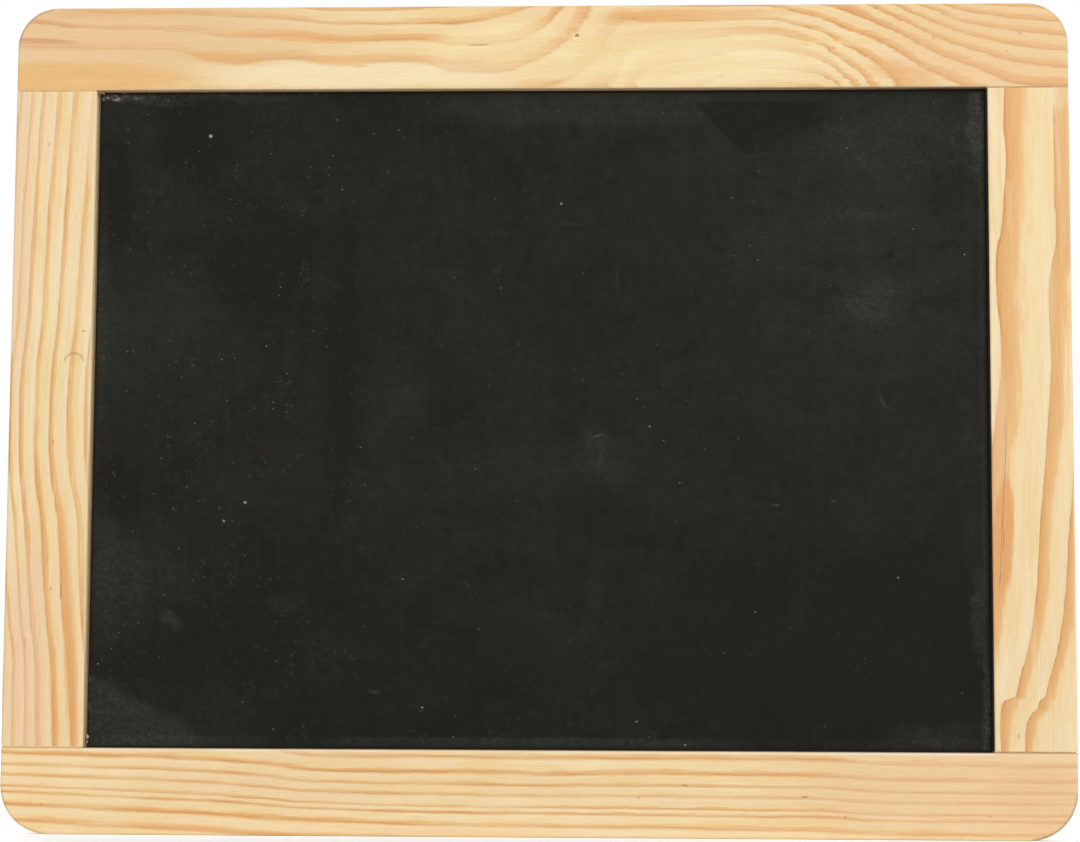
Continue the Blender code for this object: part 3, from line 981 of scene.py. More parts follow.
@dataclass(frozen=True)
class Chalkboard:
    """Matt black chalkboard paint with wiped chalk on it in front, bare fibreboard behind."""

    black: Colour = paint("151510")
    dust: Colour = paint("8E8F86")
    chalk: Colour = paint("E9E8E0")
    umber: Colour = paint("3A1E14")
    # Dark brown-black of the painted shadow round the panel, also used for the dents
    shade_black: Colour = paint("231407")
    ledge: Colour = paint("9A8863")
    bare: Colour = paint("BDAE9C")
    smut: Colour = (0.004, 0.004, 0.004)
    board: Colour = paint("8A6444")
    board_dark: Colour = paint("5E4029")
    board_light: Colour = paint("B08A63")
    paint_depth: float = 0.35
    relief_depth: float = 0.00006

    def _veil(self, nodes: Nodes, place: Place, wipe: Number) -> Number:
        """How much chalk dust there is, with painted light along the right edge.

        Args:
            nodes: The tree.
            place: Place on the board.
            wipe: Uneven noise that breaks the edges up.

        Returns:
            The dust, from nought where the panel is clean.
        """
        x, _, z = place.parts()
        sway = nodes.noise(place.in_cells(7, 1, 7).moved((4.0, 1.0, 6.0)), 3.0, 0.6)
        frayed = nodes.join(x + (wipe - 0.5) * 7.0, z + (sway - 0.5) * 7.0, 0.0)
        light = sum(mark.mask(nodes, frayed) for mark in HAZE)
        dark = drawn(WIPED, nodes, frayed)

        corner = (x * 0.55 + z + (sway - 0.5) * 6.0).rises(-112.5, -115.0) * x.rises(-66.0, -86.0) * 0.6
        lower_band = (z + (wipe - 0.5) * 1.2).rises(-71.8, -72.6) * z.rises(-74.6, -73.8)
        lower_band = lower_band * nodes.curve(x, LOWER_BAND)
        wedge = (x * 1.087 + z).rises(110.2, 111.2) * (z - x * 0.3).rises(42.5, 50.0) * x.rises(72.0, 58.0)
        wedge = wedge * z.rises(57.0, 63.0) * z.rises(72.7, 72.0) * 0.44

        clouds = nodes.noise(place.in_cells(26, 1, 20).moved((3.0, 0.0, 5.0)), 6.0, 0.66, 0.8) - 0.5
        mottle = nodes.noise(place.in_cells(3.4, 1, 3.4).moved((0.0, 2.0, 0.0)), 5.0, 0.75, 0.6) - 0.5
        strokes = nodes.noise(place.in_cells(1.4, 1, 24), 3.0, 0.6) - 0.5
        cross = nodes.noise(place.in_cells(22, 1, 1.1), 3.0, 0.6) - 0.5
        texture = clouds * 0.9 + mottle * 0.8 + strokes * 0.32 + cross * 0.32
        powder = nodes.noise(place.in_cells(1.1, 1, 0.9).moved((6.0, 0.0, 3.0)), 4.0, 0.8)
        haze = (light + corner + lower_band) * (0.1 + wipe * 1.8) * (0.25 + powder.rises(0.3, 0.7) * 1.5)
        # Chalk dust along the right edge, and painted light that lifts the panel there against the shadow of
        # the right stile
        rim = (OPENING_X - x).rises(2.3, 0.6) * powder.rises(0.2, 0.6) * 1.9
        return 0.2 + haze + rim - dark - wedge + texture

    def _specks(self, nodes: Nodes, place: Place, flat: Place, wipe: Number) -> tuple[Number, Number]:
        """Chalk grains and hairline scuffs, thickest on the left.

        Args:
            nodes: The tree.
            place: Place on the board.
            flat: Place across and up the board.
            wipe: Uneven noise.

        Returns:
            Faint marks, and the brightest grains.
        """
        x, _, _ = place.parts()
        flock = nodes.noise(place.in_cells(15, 1, 15).moved((9.0, 0.0, 2.0)), 3.0, 0.6)
        leftness = nodes.curve(x, LEFTNESS)
        thick = leftness * flock.rises(0.36, 0.6)
        many, luck = nodes.cells(place.in_cells(1.5, 10, 1.5))
        specks = many.rises(0.19, 0.07) * (luck - (1.0 - thick * 0.42)).rises(0.0, 0.2) * (0.1 + luck * 0.2)
        medium, chance = nodes.cells(place.in_cells(4.2, 10, 4.2).moved((11.0, 0.0, 4.0)))
        dots = medium.rises(0.07, 0.03) * (chance - (0.96 - leftness * 0.24)).rises(0.0, 0.15) * 0.3
        swirl = nodes.noise(place.in_cells(2.6, 1, 2.6).moved((5.0, 0.0, 1.0)), 1.0, 0.5, 1.6)
        pieces = nodes.noise(place.in_cells(1.7, 1, 1.7).moved((2.0, 3.0, 9.0)), 1.0)
        hairs = abs(swirl - 0.5).rises(0.02, 0.004) * pieces.rises(0.48, 0.62) * thick * 0.14
        wobble = nodes.noise(place.in_cells(0.35, 1, 0.35), 2.0, 0.6)
        scuffs = drawn(SCRAPES, nodes, flat) * (0.3 + wipe * 1.0) * (0.2 + wobble * 1.4)
        faint = strongest([specks, dots, hairs, scuffs])
        rough = flat.moved(nodes.join((wobble - 0.5) * 0.4, (pieces - 0.5) * 0.3, 0.0))
        return faint, strongest([grain.mask(rough) for grain in GRAINS])

    def _hardboard(self, nodes: Nodes, place: Place, wipe: Number, fibres: Number) -> Tint:
        """Colour of the bare back and edges.

        Args:
            nodes: The tree.
            place: Place on the board.
            wipe: Uneven noise.
            fibres: Fine noise.

        Returns:
            The colour of pressed brown fibre.
        """
        sheets = nodes.noise(place.in_cells(22, 22, 22), 2.0)
        bent = place.moved(nodes.join((wipe - 0.5) * 6.0, 0.0, (sheets - 0.5) * 9.0))
        pulp, luck = nodes.cells(bent.in_cells(1.2, 1.2, 2.6))
        colour = nodes.mix(self.board_dark, self.board, fibres.rises(0.3, 0.62))
        colour = colour.towards(self.board_light, pulp.rises(0.22, 0.08) * luck.rises(0.72, 0.9) * 0.7)
        return colour.times(0.85 + sheets * 0.3)

    def _groove_shadow(self, x: Number, z: Number, ragged: Number) -> Number:
        """Find the painted shadow where the panel enters its groove.

        Args:
            x: Place across the board.
            z: Place up the board.
            ragged: How far its inner edge wanders.

        Returns:
            One in the painted shadow, nought on the open panel.
        """
        left = (x + OPENING_X + ragged * z.rises(30.0, 60.0).at_least(0.6)).rises(1.0, 0.6)
        right = (OPENING_X - x + ragged * 0.4).rises(0.4, 0.15)
        top = (OPENING_Z - z + ragged * 0.4).rises(0.6, 0.3)
        bottom = (z + OPENING_Z + ragged * 0.4).rises(0.5, 0.25)
        return strongest([left, right, top, bottom])

    def _corner_chips(self, nodes: Nodes, flat: Place, torn: Number, colour: Tint) -> Tint:
        """Chip the paint in the upper left corner, where the panel was pushed in.

        Args:
            nodes: The tree.
            flat: Place across and up the board.
            torn: Fine uneven noise.
            colour: The colour so far.

        Returns:
            The colour with pale chips and a black dent.
        """
        pale = drawn(CHIPS, nodes, flat)
        colour = colour.towards(self.chalk, pale * torn.rises(0.44, 0.62) * 0.26)
        # Dark dents near the corner, drawn in the same colour as the painted shadow
        return colour.towards(self.shade_black, drawn(DENTS, nodes, flat))

    def material(self) -> bpy.types.Material:
        """Make the panel's material.

        Returns:
            The material.
        """
        nodes = Nodes("chalkboard")
        place = nodes.board_place()
        x, depth, z = place.parts()
        flat = nodes.join(x, z, 0.0)
        wipe = nodes.noise(place.in_cells(8, 8, 6), 5.0, 0.66, 0.4)
        paint_grain = nodes.noise(place.in_cells(0.45, 0.45, 0.45), 2.0, 0.6)
        veil = self._veil(nodes, place, wipe)
        colour = nodes.mix(self.black, self.dust, (veil * 0.075).limited())
        colour = colour.times(1.0 + (paint_grain - 0.5) * 0.55)
        warm = UMBER_AREA.mask(nodes, flat) * wipe.rises(0.45, 0.7)
        colour = colour.towards(self.umber, warm * 0.14)

        faint, bright = self._specks(nodes, place, flat, wipe)
        colour = colour.towards(self.dust, faint.limited())
        colour = colour.towards(self.chalk, bright * (0.09 + wipe * 0.4))
        colour = colour.towards(self.smut, SMUT.mask(nodes, flat))

        torn = nodes.noise(place.in_cells(1.3, 1, 1.0), 4.0, 0.7)
        colour = self._corner_chips(nodes, flat, torn, colour)
        # Painted shadow: a dark line round the panel where it enters the groove
        colour = colour.towards(self.shade_black, self._groove_shadow(x, z, (torn - 0.5) * 0.9) * 0.9)
        ledge = (x + OPENING_X + (torn - 0.5) * 0.3).rises(0.42, 0.2)
        colour = colour.towards(self.ledge, ledge * (0.35 + torn * 0.7))
        worn = drawn(WORN, nodes, flat) * torn.rises(0.48, 0.7)
        colour = colour.towards(self.bare, worn * 0.22)

        fibres = nodes.noise(place.in_cells(0.9, 1, 0.9), 5.0, 0.7, 1.5)
        behind = depth.rises(PANEL_FACE + self.paint_depth, PANEL_FACE + self.paint_depth + 0.2)
        colour = colour.towards(self._hardboard(nodes, place, wipe, fibres), behind)

        relief = 0.5 + (paint_grain - 0.5) * 0.7 + (fibres - 0.5) * behind
        roughness = 0.74 + (veil * 0.08).limited() + (paint_grain - 0.5) * 0.1
        return nodes.finish(colour, roughness, relief, self.relief_depth, {"Specular IOR Level": 0.12})


@dataclass(frozen=True)
class PlatedSteel:
    """Nickel or zinc plate with handling scratches."""

    name: str
    colour: Colour
    roughness: float
    brushed: float = 0.0
    relief_depth: float = 0.00002

    def material(self) -> bpy.types.Material:
        """Make the metal's material.

        Returns:
            The material.
        """
        nodes = Nodes(self.name)
        place = nodes.board_place()
        tarnish = nodes.noise(place.in_cells(2.4, 2.4, 2.4), 4.0, 0.6)
        uneven = tarnish - 0.5
        brush = (nodes.noise(place.in_cells(0.07, 0.4, 4), 3.0, 0.6) - 0.5) * self.brushed
        bent = place.in_cells(0.5, 0.5, 2.4).moved(nodes.join(tarnish * 2.0, 0.0, tarnish))
        distance, luck = nodes.cells(bent)
        scratch = distance.rises(0.09, 0.02) * luck.rises(0.55, 0.7)
        dark = tuple(part * 0.55 for part in self.colour)
        colour = nodes.mix(self.colour, dark, tarnish.rises(0.5, 0.75) * 0.5)
        colour = colour.times(1.0 + brush * 0.25)
        roughness = self.roughness + uneven * 0.25 + brush * 0.2 + scratch * 0.15
        relief = 0.5 + brush * 0.6 - scratch * 0.5 + uneven * 0.3
        return nodes.finish(colour, roughness, relief, self.relief_depth, {"Metallic": 1.0})


@dataclass(frozen=True)
class Glue:
    """Dried wood glue with sanding dust in it, in the joints."""

    colour: Colour = paint("B98E5F")
    dusty: Colour = paint("E2C08C")
    relief_depth: float = 0.00008

    def material(self) -> bpy.types.Material:
        """Make the glue's material.

        Returns:
            The material.
        """
        nodes = Nodes("joint_glue")
        place = nodes.board_place()
        x, _, z = place.parts()
        uneven = nodes.noise(place.in_cells(3.5, 1.5, 3.5), 4.0, 0.65)
        pale_left = x.rises(-90.0, -100.0) * (0.55 + z.rises(0.0, -10.0) * 0.4)
        share = (uneven.rises(0.42, 0.66) * 0.5 + pale_left).limited()
        colour = nodes.mix(self.colour, self.dusty, share)
        return nodes.finish(colour, 0.55, uneven, self.relief_depth, {"Specular IOR Level": 0.4})


TOP_GRAIN = Grain(
    stations=(-120, -100, -84, -70, -58, -44, -28, -18, -8, -2, 5, 12, 18, 24, 40, 50, 60, 70, 80, 90, 100,
              110, 120),
    opening=(1.1, 1.1, 1.2, 1.3, 1.3, 1.3, 1.3, 1.5, 1.4, 0.95, 0.8, 0.2, -0.3, -1.3, -2.3, -2.9, -2.9, -1.5,
             0.8, 1.5, 2.2, 2.9, 3.0),
    between=(1.9, 2.0, 2.05, 2.5, 2.4, 2.65, 2.6, 2.9, 2.85, 2.55, 1.95, 1.3, 0.5, -0.2, -0.5, -0.8, -0.4,
             1.0, 2.1, 3.4, 4.4, 5.1, 5.4),
    outside=(3.7, 4.3, 4.4, 4.5, 4.9, 5.3, 5.2, 4.9, 4.3, 4.0, 3.1, 2.0, 1.5, 1.9, 2.1, 2.1, 2.8, 3.4,
             5.0, 6.6, 8.0, 8.3, 8.5),
    through=0.33,
    dark_share_opening=((-120, 0.24), (-82, 0.26), (-74, 0.5), (-45, 0.34), (-22, 0.52), (0, 0.45), (50, 0.5),
                        (75, 0.42), (120, 0.42)),
    dark_share_outside=((-120, 0.26), (-70, 0.3), (-20, 0.3), (12, 0.42), (38, 0.55), (56, 0.42),
                        (120, 0.42)),
    soft_edge=0.13,
    jags=1.5,
    steps=0.36,
)
BOTTOM_GRAIN = Grain(
    stations=(-120, -80, -60, -40, 0, 40, 60, 80, 120),
    opening=(3.9, 3.05, 1.7, 0.0, 0.0, 0.2, 0.15, -1.0, -1.2),
    outside=(4.4, 2.4, 1.4, 0.85, 0.0, -0.25, -0.5, -1.2, -1.3),
    lines=((-3, 9.3), (1.7, 8), (5.15, 7), (7.75, 6), (10.1, 5), (12.65, 4), (14.05, 3), (16.8, 2), (20.4, 1),
           (25, -0.3)),
    through=0.28,
    dark_share_opening=((-120, 0.28), (120, 0.28)),
    dark_share_outside=((-120, 0.3), (120, 0.3)),
    soft_edge=0.22,
    swell=1.6,
)
LEFT_GRAIN = Grain(
    stations=(-75, -60, -47, -25, 0, 25, 50, 75),
    opening=(7.0, 5.8, 4.2, 3.0, 0.0, 1.7, 2.9, 4.2),
    outside=(4.4, 4.4, 3.4, 1.5, 0.0, 1.3, 2.0, 3.3),
    lines=((-3, 7.2), (1.2, 6), (5.0, 5), (9.05, 4), (12.6, 3), (16.0, 2), (18.3, 1), (20.8, 0), (26, -2)),
    through=0.36,
    dark_share_opening=((-75, 0.4), (-20, 0.38), (10, 0.28), (75, 0.3)),
    dark_share_outside=((-75, 0.3), (75, 0.26)),
    soft_edge=0.12,
)
RIGHT_GRAIN = Grain(
    stations=(-75, -70, -66, -64, -62.5, -60, -43, -25, 0, 15, 27, 34, 42, 50, 60, 66, 75),
    opening=(10.6, 11.0, 11.0, 10.9, 7.7, 7.1, 3.2, 2.0, -0.6, -1.9, -1.0, -0.9, -1.9, -3.0, -3.8, -3.3,
             -3.4),
    outside=(14.5, 13.4, 9.6, 7.2, 7.2, 6.6, 3.15, 1.6, -0.4, -0.8, -0.7, -1.9, -2.8, -2.1, -2.2, -2.3,
             -2.6),
    lines=((-11, 0), (0.9, 1), (12.6, 2), (19, 3), (24, 3.6), (34, 4), (42, 5)),
    through=0.4,
    dark_share_opening=((-75, 0.3), (-67, 0.5), (-60, 0.3), (-47, 0.4), (-33, 0.5), (-25, 0.45), (0, 0.4),
                        (15, 0.36), (27, 0.33), (50, 0.27), (75, 0.33)),
    dark_share_outside=((-75, 0.25), (-60, 0.3), (-43, 0.34), (-25, 0.3), (0, 0.5), (15, 0.56), (27, 0.8),
                        (75, 0.6)),
    soft_edge=0.025,
    jags=0.9,
)


TOP_PINE = Pine(
    Side.TOP, TOP_GRAIN, 3.0,
    warmth=((-120, 0.75), (-70, 0.6), (-50, 0.25), (-5, 0.5), (6, 0.3), (45, 0.15), (62, 0.35), (90, 0.6),
            (120, 0.75)),
    marks=(
        Mark(8.7, 87.2, 1.0, 0.7, 20, 0.9),
        Mark(-41.0, 80.2, 3.4, 0.5, 2, 0.35),
        Mark(-14.0, 85.1, 5.0, 0.45, 0, 0.45),
        Mark(109.2, 87.2, 1.2, 0.5, 5, 0.5),
        Mark(89.7, 86.3, 0.8, 0.45, -30, 0.45),
        Mark(6.8, 87.6, 1.5, 0.6, 60, 0.25),
        Mark(-84.0, 88.6, 6.0, 0.3, -2, 0.25),
        Mark(106.2, 83.1, 0.8, 0.45, 0, 0.35),
    ),
    flecks=(
        Mark(8.4, 86.5, 1.0, 0.5, 10, 0.8),
        Mark(-55.6, 75.0, 1.1, 0.6, 20, 0.7),
        Mark(47, 75.1, 6.0, 0.3, 0, 0.5),
        Mark(56, 75.1, 5.0, 0.35, 0, 0.5),
    ),
    bolder=(
        Mark(-62, 82.5, 36, 4, -3, 0.5, 0.8),
        Mark(-14, 78.5, 22, 4, 0, 0.5, 0.8),
        Mark(92, 85, 60, 24, 0, 0.35, 0.8),
    ),
    fainter=(
        Mark(36, 82, 66, 16, 0, 0.72, 0.9),
        Mark(-4, 85, 40, 22, 0, 0.25, 0.8),
        Mark(70, 79, 18, 8, -45, 0.5, 0.9),
        Mark(-100, 79, 46, 8, 0, 0.6, 0.6),
    ),
    patches=(
        Patch(Mark(-92, 88, 84, 18, 0, 0.6, 1.0), paint("E8BC8D")),
        Patch(Mark(-84, 84, 84, 30, 0, 0.25, 1.2), paint("DCBE90")),
        Patch(Mark(0, 84, 90, 30, 0, 0.2, 1.2), paint("ECC488")),
        Patch(Mark(104, 85, 48, 24, 0, 0.45, 0.9), paint("E6BD8E")),
        Patch(Mark(-42, 78.3, 74, 6, 0, 0.6, 1.1), paint("F5E4BE")),
        Patch(Mark(-55, 87.0, 26, 1.8, -3, 0.6, 1.2), paint("E3A767")),
        Patch(Mark(-71, 82.4, 18, 2.4, -4, 0.6, 1.2), paint("E2AB68")),
        Patch(Mark(-46, 81.4, 14, 2.2, 0, 0.5, 1.2), paint("E4AF70")),
        Patch(Mark(-96, 92.9, 40, 1.8, 0, 0.5, 1.2), paint("E2AA72")),
        Patch(Mark(-12, 86.5, 28, 6, 10, 0.55, 1.1), paint("F6E4AE")),
        Patch(Mark(32, 81, 58, 12, 0, 0.55, 1.1), paint("F5E4B4")),
        Patch(Mark(6, 80.5, 24, 2.6, 12, 0.4, 1.0), paint("E9D08F")),
        Patch(Mark(28, 85.0, 34, 2.6, 4, 0.4, 1.0), paint("E9CF8C")),
        Patch(Mark(-107, 78.0, 58, 7.2, 0, 0.85, 0.6), paint("E5B574")),
        Patch(Mark(30, 79.0, 30, 2.6, 6, 0.35, 1.5), paint("E6C285")),
        Patch(Mark(14, 84.5, 12, 6.0, 50, 0.35, 1.5), paint("E8C48C")),
        Patch(Mark(26, 91.9, 20, 3.0, 4, 0.75, 1.5), paint("E0A86B")),
        Patch(Mark(43, 92.3, 30, 1.9, 1, 0.5, 1.5), paint("E2AC71")),
        Patch(Mark(83, 78, 16, 4.4, -18, 0.6, 0.8), paint("E2AC72")),
        Patch(Mark(-115, 86.6, 16, 1.3, -3, 0.6, 1.0), paint("C98F63")),
        Patch(Mark(-113.0, 90.7, 14, 1.0, -6, 0.45, 1.0), paint("C98F63")),
    ),
    contrast=1.05,
    edge_line=0.3,
    reveal_grime_and_shade=0.3,
    reveal_shade=0.55,
    shade_along=((64, 0.0), (92, 1.0)),
    arris_highlight=0.55,
    corner_radius=TOP_RADIUS,
    painted_lightness=1.01,
)
BOTTOM_PINE = Pine(
    Side.BOTTOM, BOTTOM_GRAIN, 47.0,
    warmth=((-120, 0.35), (-60, 0.45), (0, 0.4), (60, 0.35), (120, 0.55)),
    marks=(
        Mark(-110.5, -87.5, 0.9, 0.35, 0, 0.5),
        Mark(33.2, -82.5, 1.6, 0.4, -10, 0.6),
        Mark(59.8, -84.9, 1.5, 0.45, -5, 0.6),
        Mark(23.0, -85.3, 0.7, 0.4, 0, 0.5),
        Mark(-26.0, -79.6, 3.2, 0.3, 4, 0.3),
        Mark(68.7, -89.2, 0.8, 0.4, 0, 0.4),
        Mark(100.6, -89.0, 0.9, 0.4, 0, 0.4),
    ),
    flecks=(Mark(-54, -74.9, 0.8, 0.6, 0, 0.8), Mark(-25.5, -74.9, 0.7, 0.6, 0, 0.8)),
    bolder=(Mark(-15, -80.2, 64, 2.4, 0, 0.5, 0.8), Mark(-60, -90.4, 66, 2.6, -2, 0.5, 0.8)),
    patches=(
        Patch(Mark(-80, -92.4, 26, 1.6, -3, 0.5, 0.8), paint("E2AF72")),
        Patch(Mark(92, -84, 70, 20, 0, 0.55, 1.2), paint("E4BC90")),
        Patch(Mark(113, -84, 20, 20, 0, 0.35, 1.0), paint("E3B78F")),
    ),
    contrast=0.85,
    edge_line=0.15,
    reveal_shade=0.6,
    shade_reach=0.02,
    shade_depth=-0.8,
    arris_highlight=0.8,
    arris_highlight_at=0.3,
    corner_radius=BOTTOM_RADIUS,
    # Painted light: the lower rail is made lighter where the floor blocks some of the ambient light
    painted_lightness=1.045,
)
LEFT_PINE = Pine(
    Side.LEFT, LEFT_GRAIN, 91.0,
    warmth=((-75, 0.5), (-50, 0.5), (-20, 0.3), (20, 0.25), (75, 0.35)),
    marks=(
        Arc(-105.4, 11.9, 2.2, 0.6, 0.42),
        Mark(-103.3, 19.2, 1.0, 0.45, 0, 0.65),
        Mark(-112.2, 62.4, 0.9, 0.35, 90, 0.4),
        Mark(-109.5, -39.4, 0.5, 0.5, 0, 0.6),
        Mark(-107.2, -40.2, 3.4, 0.5, 88, 0.5),
        Mark(-115.0, -51.5, 2.4, 0.35, 84, 0.35),
        Mark(-109.8, -6.2, 1.5, 0.4, 92, 0.4),
    ),
    bolder=(
        Mark(-110.5, -30, 3, 46, 0, 0.5, 0.9),
        Mark(-103.6, -52, 4, 30, 0, 0.8, 0.9),
        Mark(-105.5, -36, 4, 26, 0, 0.7, 0.9),
    ),
    fainter=(Mark(-111, 42, 22, 84, 0, 0.25, 0.6), Mark(-102.3, 68, 3, 34, 0, 0.75, 0.8)),
    contrast=1.05,
    reveal_grime_and_shade=0.12,
    edge_line=0.2,
    arris_highlight=0.8,
    patches=(
        Patch(Mark(-114.5, -62, 9, 60, 0, 0.5, 1.0), paint("E9C3A2")),
        Patch(Mark(-104.5, -40, 4, 56, 0, 0.4, 1.0), paint("EFD6A0")),
        Patch(Mark(-104.6, -56, 2.4, 38, 3.5, 0.75, 1.3), paint("DE9C5C")),
        Patch(Mark(-106.6, -32, 2.2, 24, 4, 0.55, 1.3), paint("E2A565")),
        Patch(Mark(-108.4, -62, 1.6, 34, 3, 0.4, 1.4), paint("E2A565")),
        Patch(Mark(-118, 50, 5, 90, 0, 0.4, 1.0), paint("E9C3A2")),
    ),
)
RIGHT_PINE = Pine(
    Side.RIGHT, RIGHT_GRAIN, 139.0,
    warmth=((-75, 0.45), (-40, 0.3), (0, 0.15), (75, 0.1)),
    marks=(
        Mark(104.3, -18.5, 38.0, 0.2, 86.7, 0.75, 0.6),
        Mark(104.2, -28.0, 5.0, 0.3, 86.0, 0.6),
        Mark(103.3, -36.5, 3.0, 0.34, 84.0, 0.7),
        Mark(104.8, -3.0, 6.0, 0.22, 88.0, 0.55),
        Mark(107.0, -71.3, 1.4, 0.6, 100, 0.35),
    ),
    flecks=(Mark(102.1, -0.6, 0.6, 5.6, -3, 0.6, 0.9),),
    bolder=(
        Mark(107.0, 66, 4, 22, -3, 0.5, 1.0),
        Mark(106.2, 12, 3, 30, 2, 0.5, 1.0),
        Mark(105.0, 34, 3, 40, 3, 0.3, 1.0),
        Mark(113.5, -20, 4, 60, 5, 0.3, 1.0),
    ),
    fainter=(Mark(117.5, 74, 10, 9, 0, 0.8, 0.8),),
    patches=(
        Patch(Mark(108.3, 64, 2.6, 30, 3, 0.6, 1.0), paint("E6AC66")),
        Patch(Mark(118.6, 60, 3.0, 40, 0, 0.5, 1.0), paint("E6B27A")),
        Patch(Mark(112.5, 40, 7, 80, 0, 0.45, 1.0), paint("F1DDB0")),
        Patch(Mark(103.4, -10, 3.4, 40, -3, 0.5, 0.8), paint("E7B98F")),
        Patch(Mark(104.2, -27, 4.6, 26, -3, 0.9, 0.35), paint("DFA063")),
        Patch(Mark(103.0, -42, 2.0, 26, -4, 0.7, 0.8), paint("E0A468")),
    ),
    contrast=1.2,
    reveal_shade=0.95,
    shade_reach=0.12,
    shade_depth=-1.2,
    arris_highlight=0.0,
    edge_line=0.4,
    edge_width=0.04,
    painted_lightness=0.995,
)
BATTENS = {
    "top_rail": TOP_PINE,
    "bottom_rail": BOTTOM_PINE,
    "left_stile": LEFT_PINE,
    "right_stile": RIGHT_PINE,
}


def joined(pieces: Sequence[bpy.types.Object], name: str) -> bpy.types.Object:
    """Join several objects into one.

    Args:
        pieces: The objects.
        name: The name of the joined one.

    Returns:
        The joined object.
    """
    bpy.ops.object.select_all(action="DESELECT")
    for piece in pieces:
        piece.select_set(True)
    bpy.context.view_layer.objects.active = pieces[0]
    bpy.ops.object.join()
    whole = bpy.context.object
    whole.name = whole.data.name = name
    return whole


def settle(piece: bpy.types.Object, material: bpy.types.Material, sharp_degrees: float) -> None:
    """Dress a piece that the CAD model lacks and let it ride on the board.

    Args:
        piece: The piece.
        material: What it wears.
        sharp_degrees: The angle past which its edges stay sharp.
    """
    bpy.ops.object.transform_apply(location=True, rotation=True, scale=True)
    bpy.ops.object.shade_smooth_by_angle(angle=math.radians(sharp_degrees))
    piece.data.materials.clear()
    piece.data.materials.append(material)
    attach(piece, "board")
    LOG.info("%s has %d faces", piece.name, len(piece.data.polygons))


@dataclass
class CornerGlue:
    """The glue in one corner joint: round the tenon and between the shoulders, a little below the surface.

    Lengths are in millimetres in the board's own frame. The signs say which corner it is.
    """

    name: str
    right: int
    up: int
    corner_radius: float
    thickness: float = 0.29
    below: float = 0.02
    rim: float = 0.02
    gap: float = 0.3
    tenon_front: float = PANEL_FACE
    groove: float = 4.0
    corner_steps: int = 12

    def _plate(self, low: Sequence[float], high: Sequence[float]) -> bpy.types.Object:
        """Make a thin plate between two corners.

        Args:
            low: Lowest X, depth and height.
            high: Highest X, depth and height.

        Returns:
            The plate.
        """
        centre = (Vector(low) + Vector(high)) / 2 + BOARD_CENTRE
        bpy.ops.object.select_all(action="DESELECT")
        bpy.ops.mesh.primitive_cube_add(size=1.0, location=centre / MILLIMETRES)
        plate = bpy.context.object
        plate.scale = (Vector(high) - Vector(low)) / MILLIMETRES
        bpy.ops.object.transform_apply(location=True, rotation=False, scale=True)
        return plate

    def _round_outer_corner(self, plate: bpy.types.Object) -> None:
        """Round a plate at the board's outer corner, like the frame round it.

        Args:
            plate: The plate.
        """
        reach = (self.corner_radius - self.below) / MILLIMETRES
        bpy.ops.object.mode_set(mode="EDIT")
        bpy.ops.mesh.select_all(action="DESELECT")
        bpy.ops.object.mode_set(mode="OBJECT")
        points = [vertex.co for vertex in plate.data.vertices]
        outer_x = max(point.x * self.right for point in points)
        outer_z = max(point.z * self.up for point in points)
        for edge in plate.data.edges:
            ends = [plate.data.vertices[index].co for index in edge.vertices]
            edge.select = all(
                math.isclose(end.x * self.right, outer_x, abs_tol=TINY)
                and math.isclose(end.z * self.up, outer_z, abs_tol=TINY)
                for end in ends
            )
        bpy.ops.object.mode_set(mode="EDIT")
        bpy.ops.mesh.select_mode(type="EDGE")
        bpy.ops.mesh.bevel(offset=reach, offset_type="OFFSET", segments=self.corner_steps, affect="EDGES")
        bpy.ops.object.mode_set(mode="OBJECT")

    def _span(self, start: float, end: float, sign: int) -> tuple[float, float]:
        """Order two distances on one side of the middle."""
        return (min(start * sign, end * sign), max(start * sign, end * sign))

    def _plates(self) -> list[bpy.types.Object]:
        """Make the thin plates on the tenon's faces, between the shoulders and beside the tenon's root.

        Returns:
            The plates.
        """
        edge_x, edge_z = HALF_WIDTH - self.below, HALF_HEIGHT - self.below
        slack = (self.gap - self.thickness) / 2
        tenon_x = OPENING_X + self.groove - self.gap
        slot_front, tenon_back = self.tenon_front - self.gap, THICKNESS - self.tenon_front
        plates = []
        left, right = self._span(tenon_x, edge_x, self.right)
        low, high = self._span(OPENING_Z - self.gap, edge_z, self.up)
        for depth in (slot_front + slack, tenon_back + slack):
            plate = self._plate((left, depth, low), (right, depth + self.thickness, high))
            self._round_outer_corner(plate)
            plates.append(plate)
        left, right = self._span(OPENING_X + self.below, edge_x - self.gap, self.right)
        low, high = self._span(OPENING_Z - self.gap + slack, OPENING_Z - slack, self.up)
        for front, back in ((self.below, slot_front), (tenon_back + self.gap, THICKNESS - self.below)):
            plates.append(self._plate((left, front, low), (right, back, high)))
        left, right = self._span(tenon_x + slack, tenon_x + slack + self.thickness, self.right)
        low, high = self._span(OPENING_Z, edge_z, self.up)
        plates.append(self._plate((left, self.tenon_front, low), (right, tenon_back, high)))
        return plates

    def build(self, material: bpy.types.Material) -> None:
        """Model the glue and let it ride on the board.

        Args:
            material: The glue's material.
        """
        piece = joined(self._plates(), self.name)
        softened = piece.modifiers.new("softened", "BEVEL")
        softened.width = self.rim / MILLIMETRES
        softened.segments = 2
        softened.limit_method = "ANGLE"
        bpy.ops.object.modifier_apply(modifier=softened.name)
        settle(piece, material, sharp_degrees=35)


@dataclass(frozen=True)
class Crumb:
    """A crumb's place and size in the board's millimetres, its turn in degrees and its unevenness."""

    x: float
    depth: float
    z: float
    length: float
    width: float
    height: float
    turn: float
    lumps: float


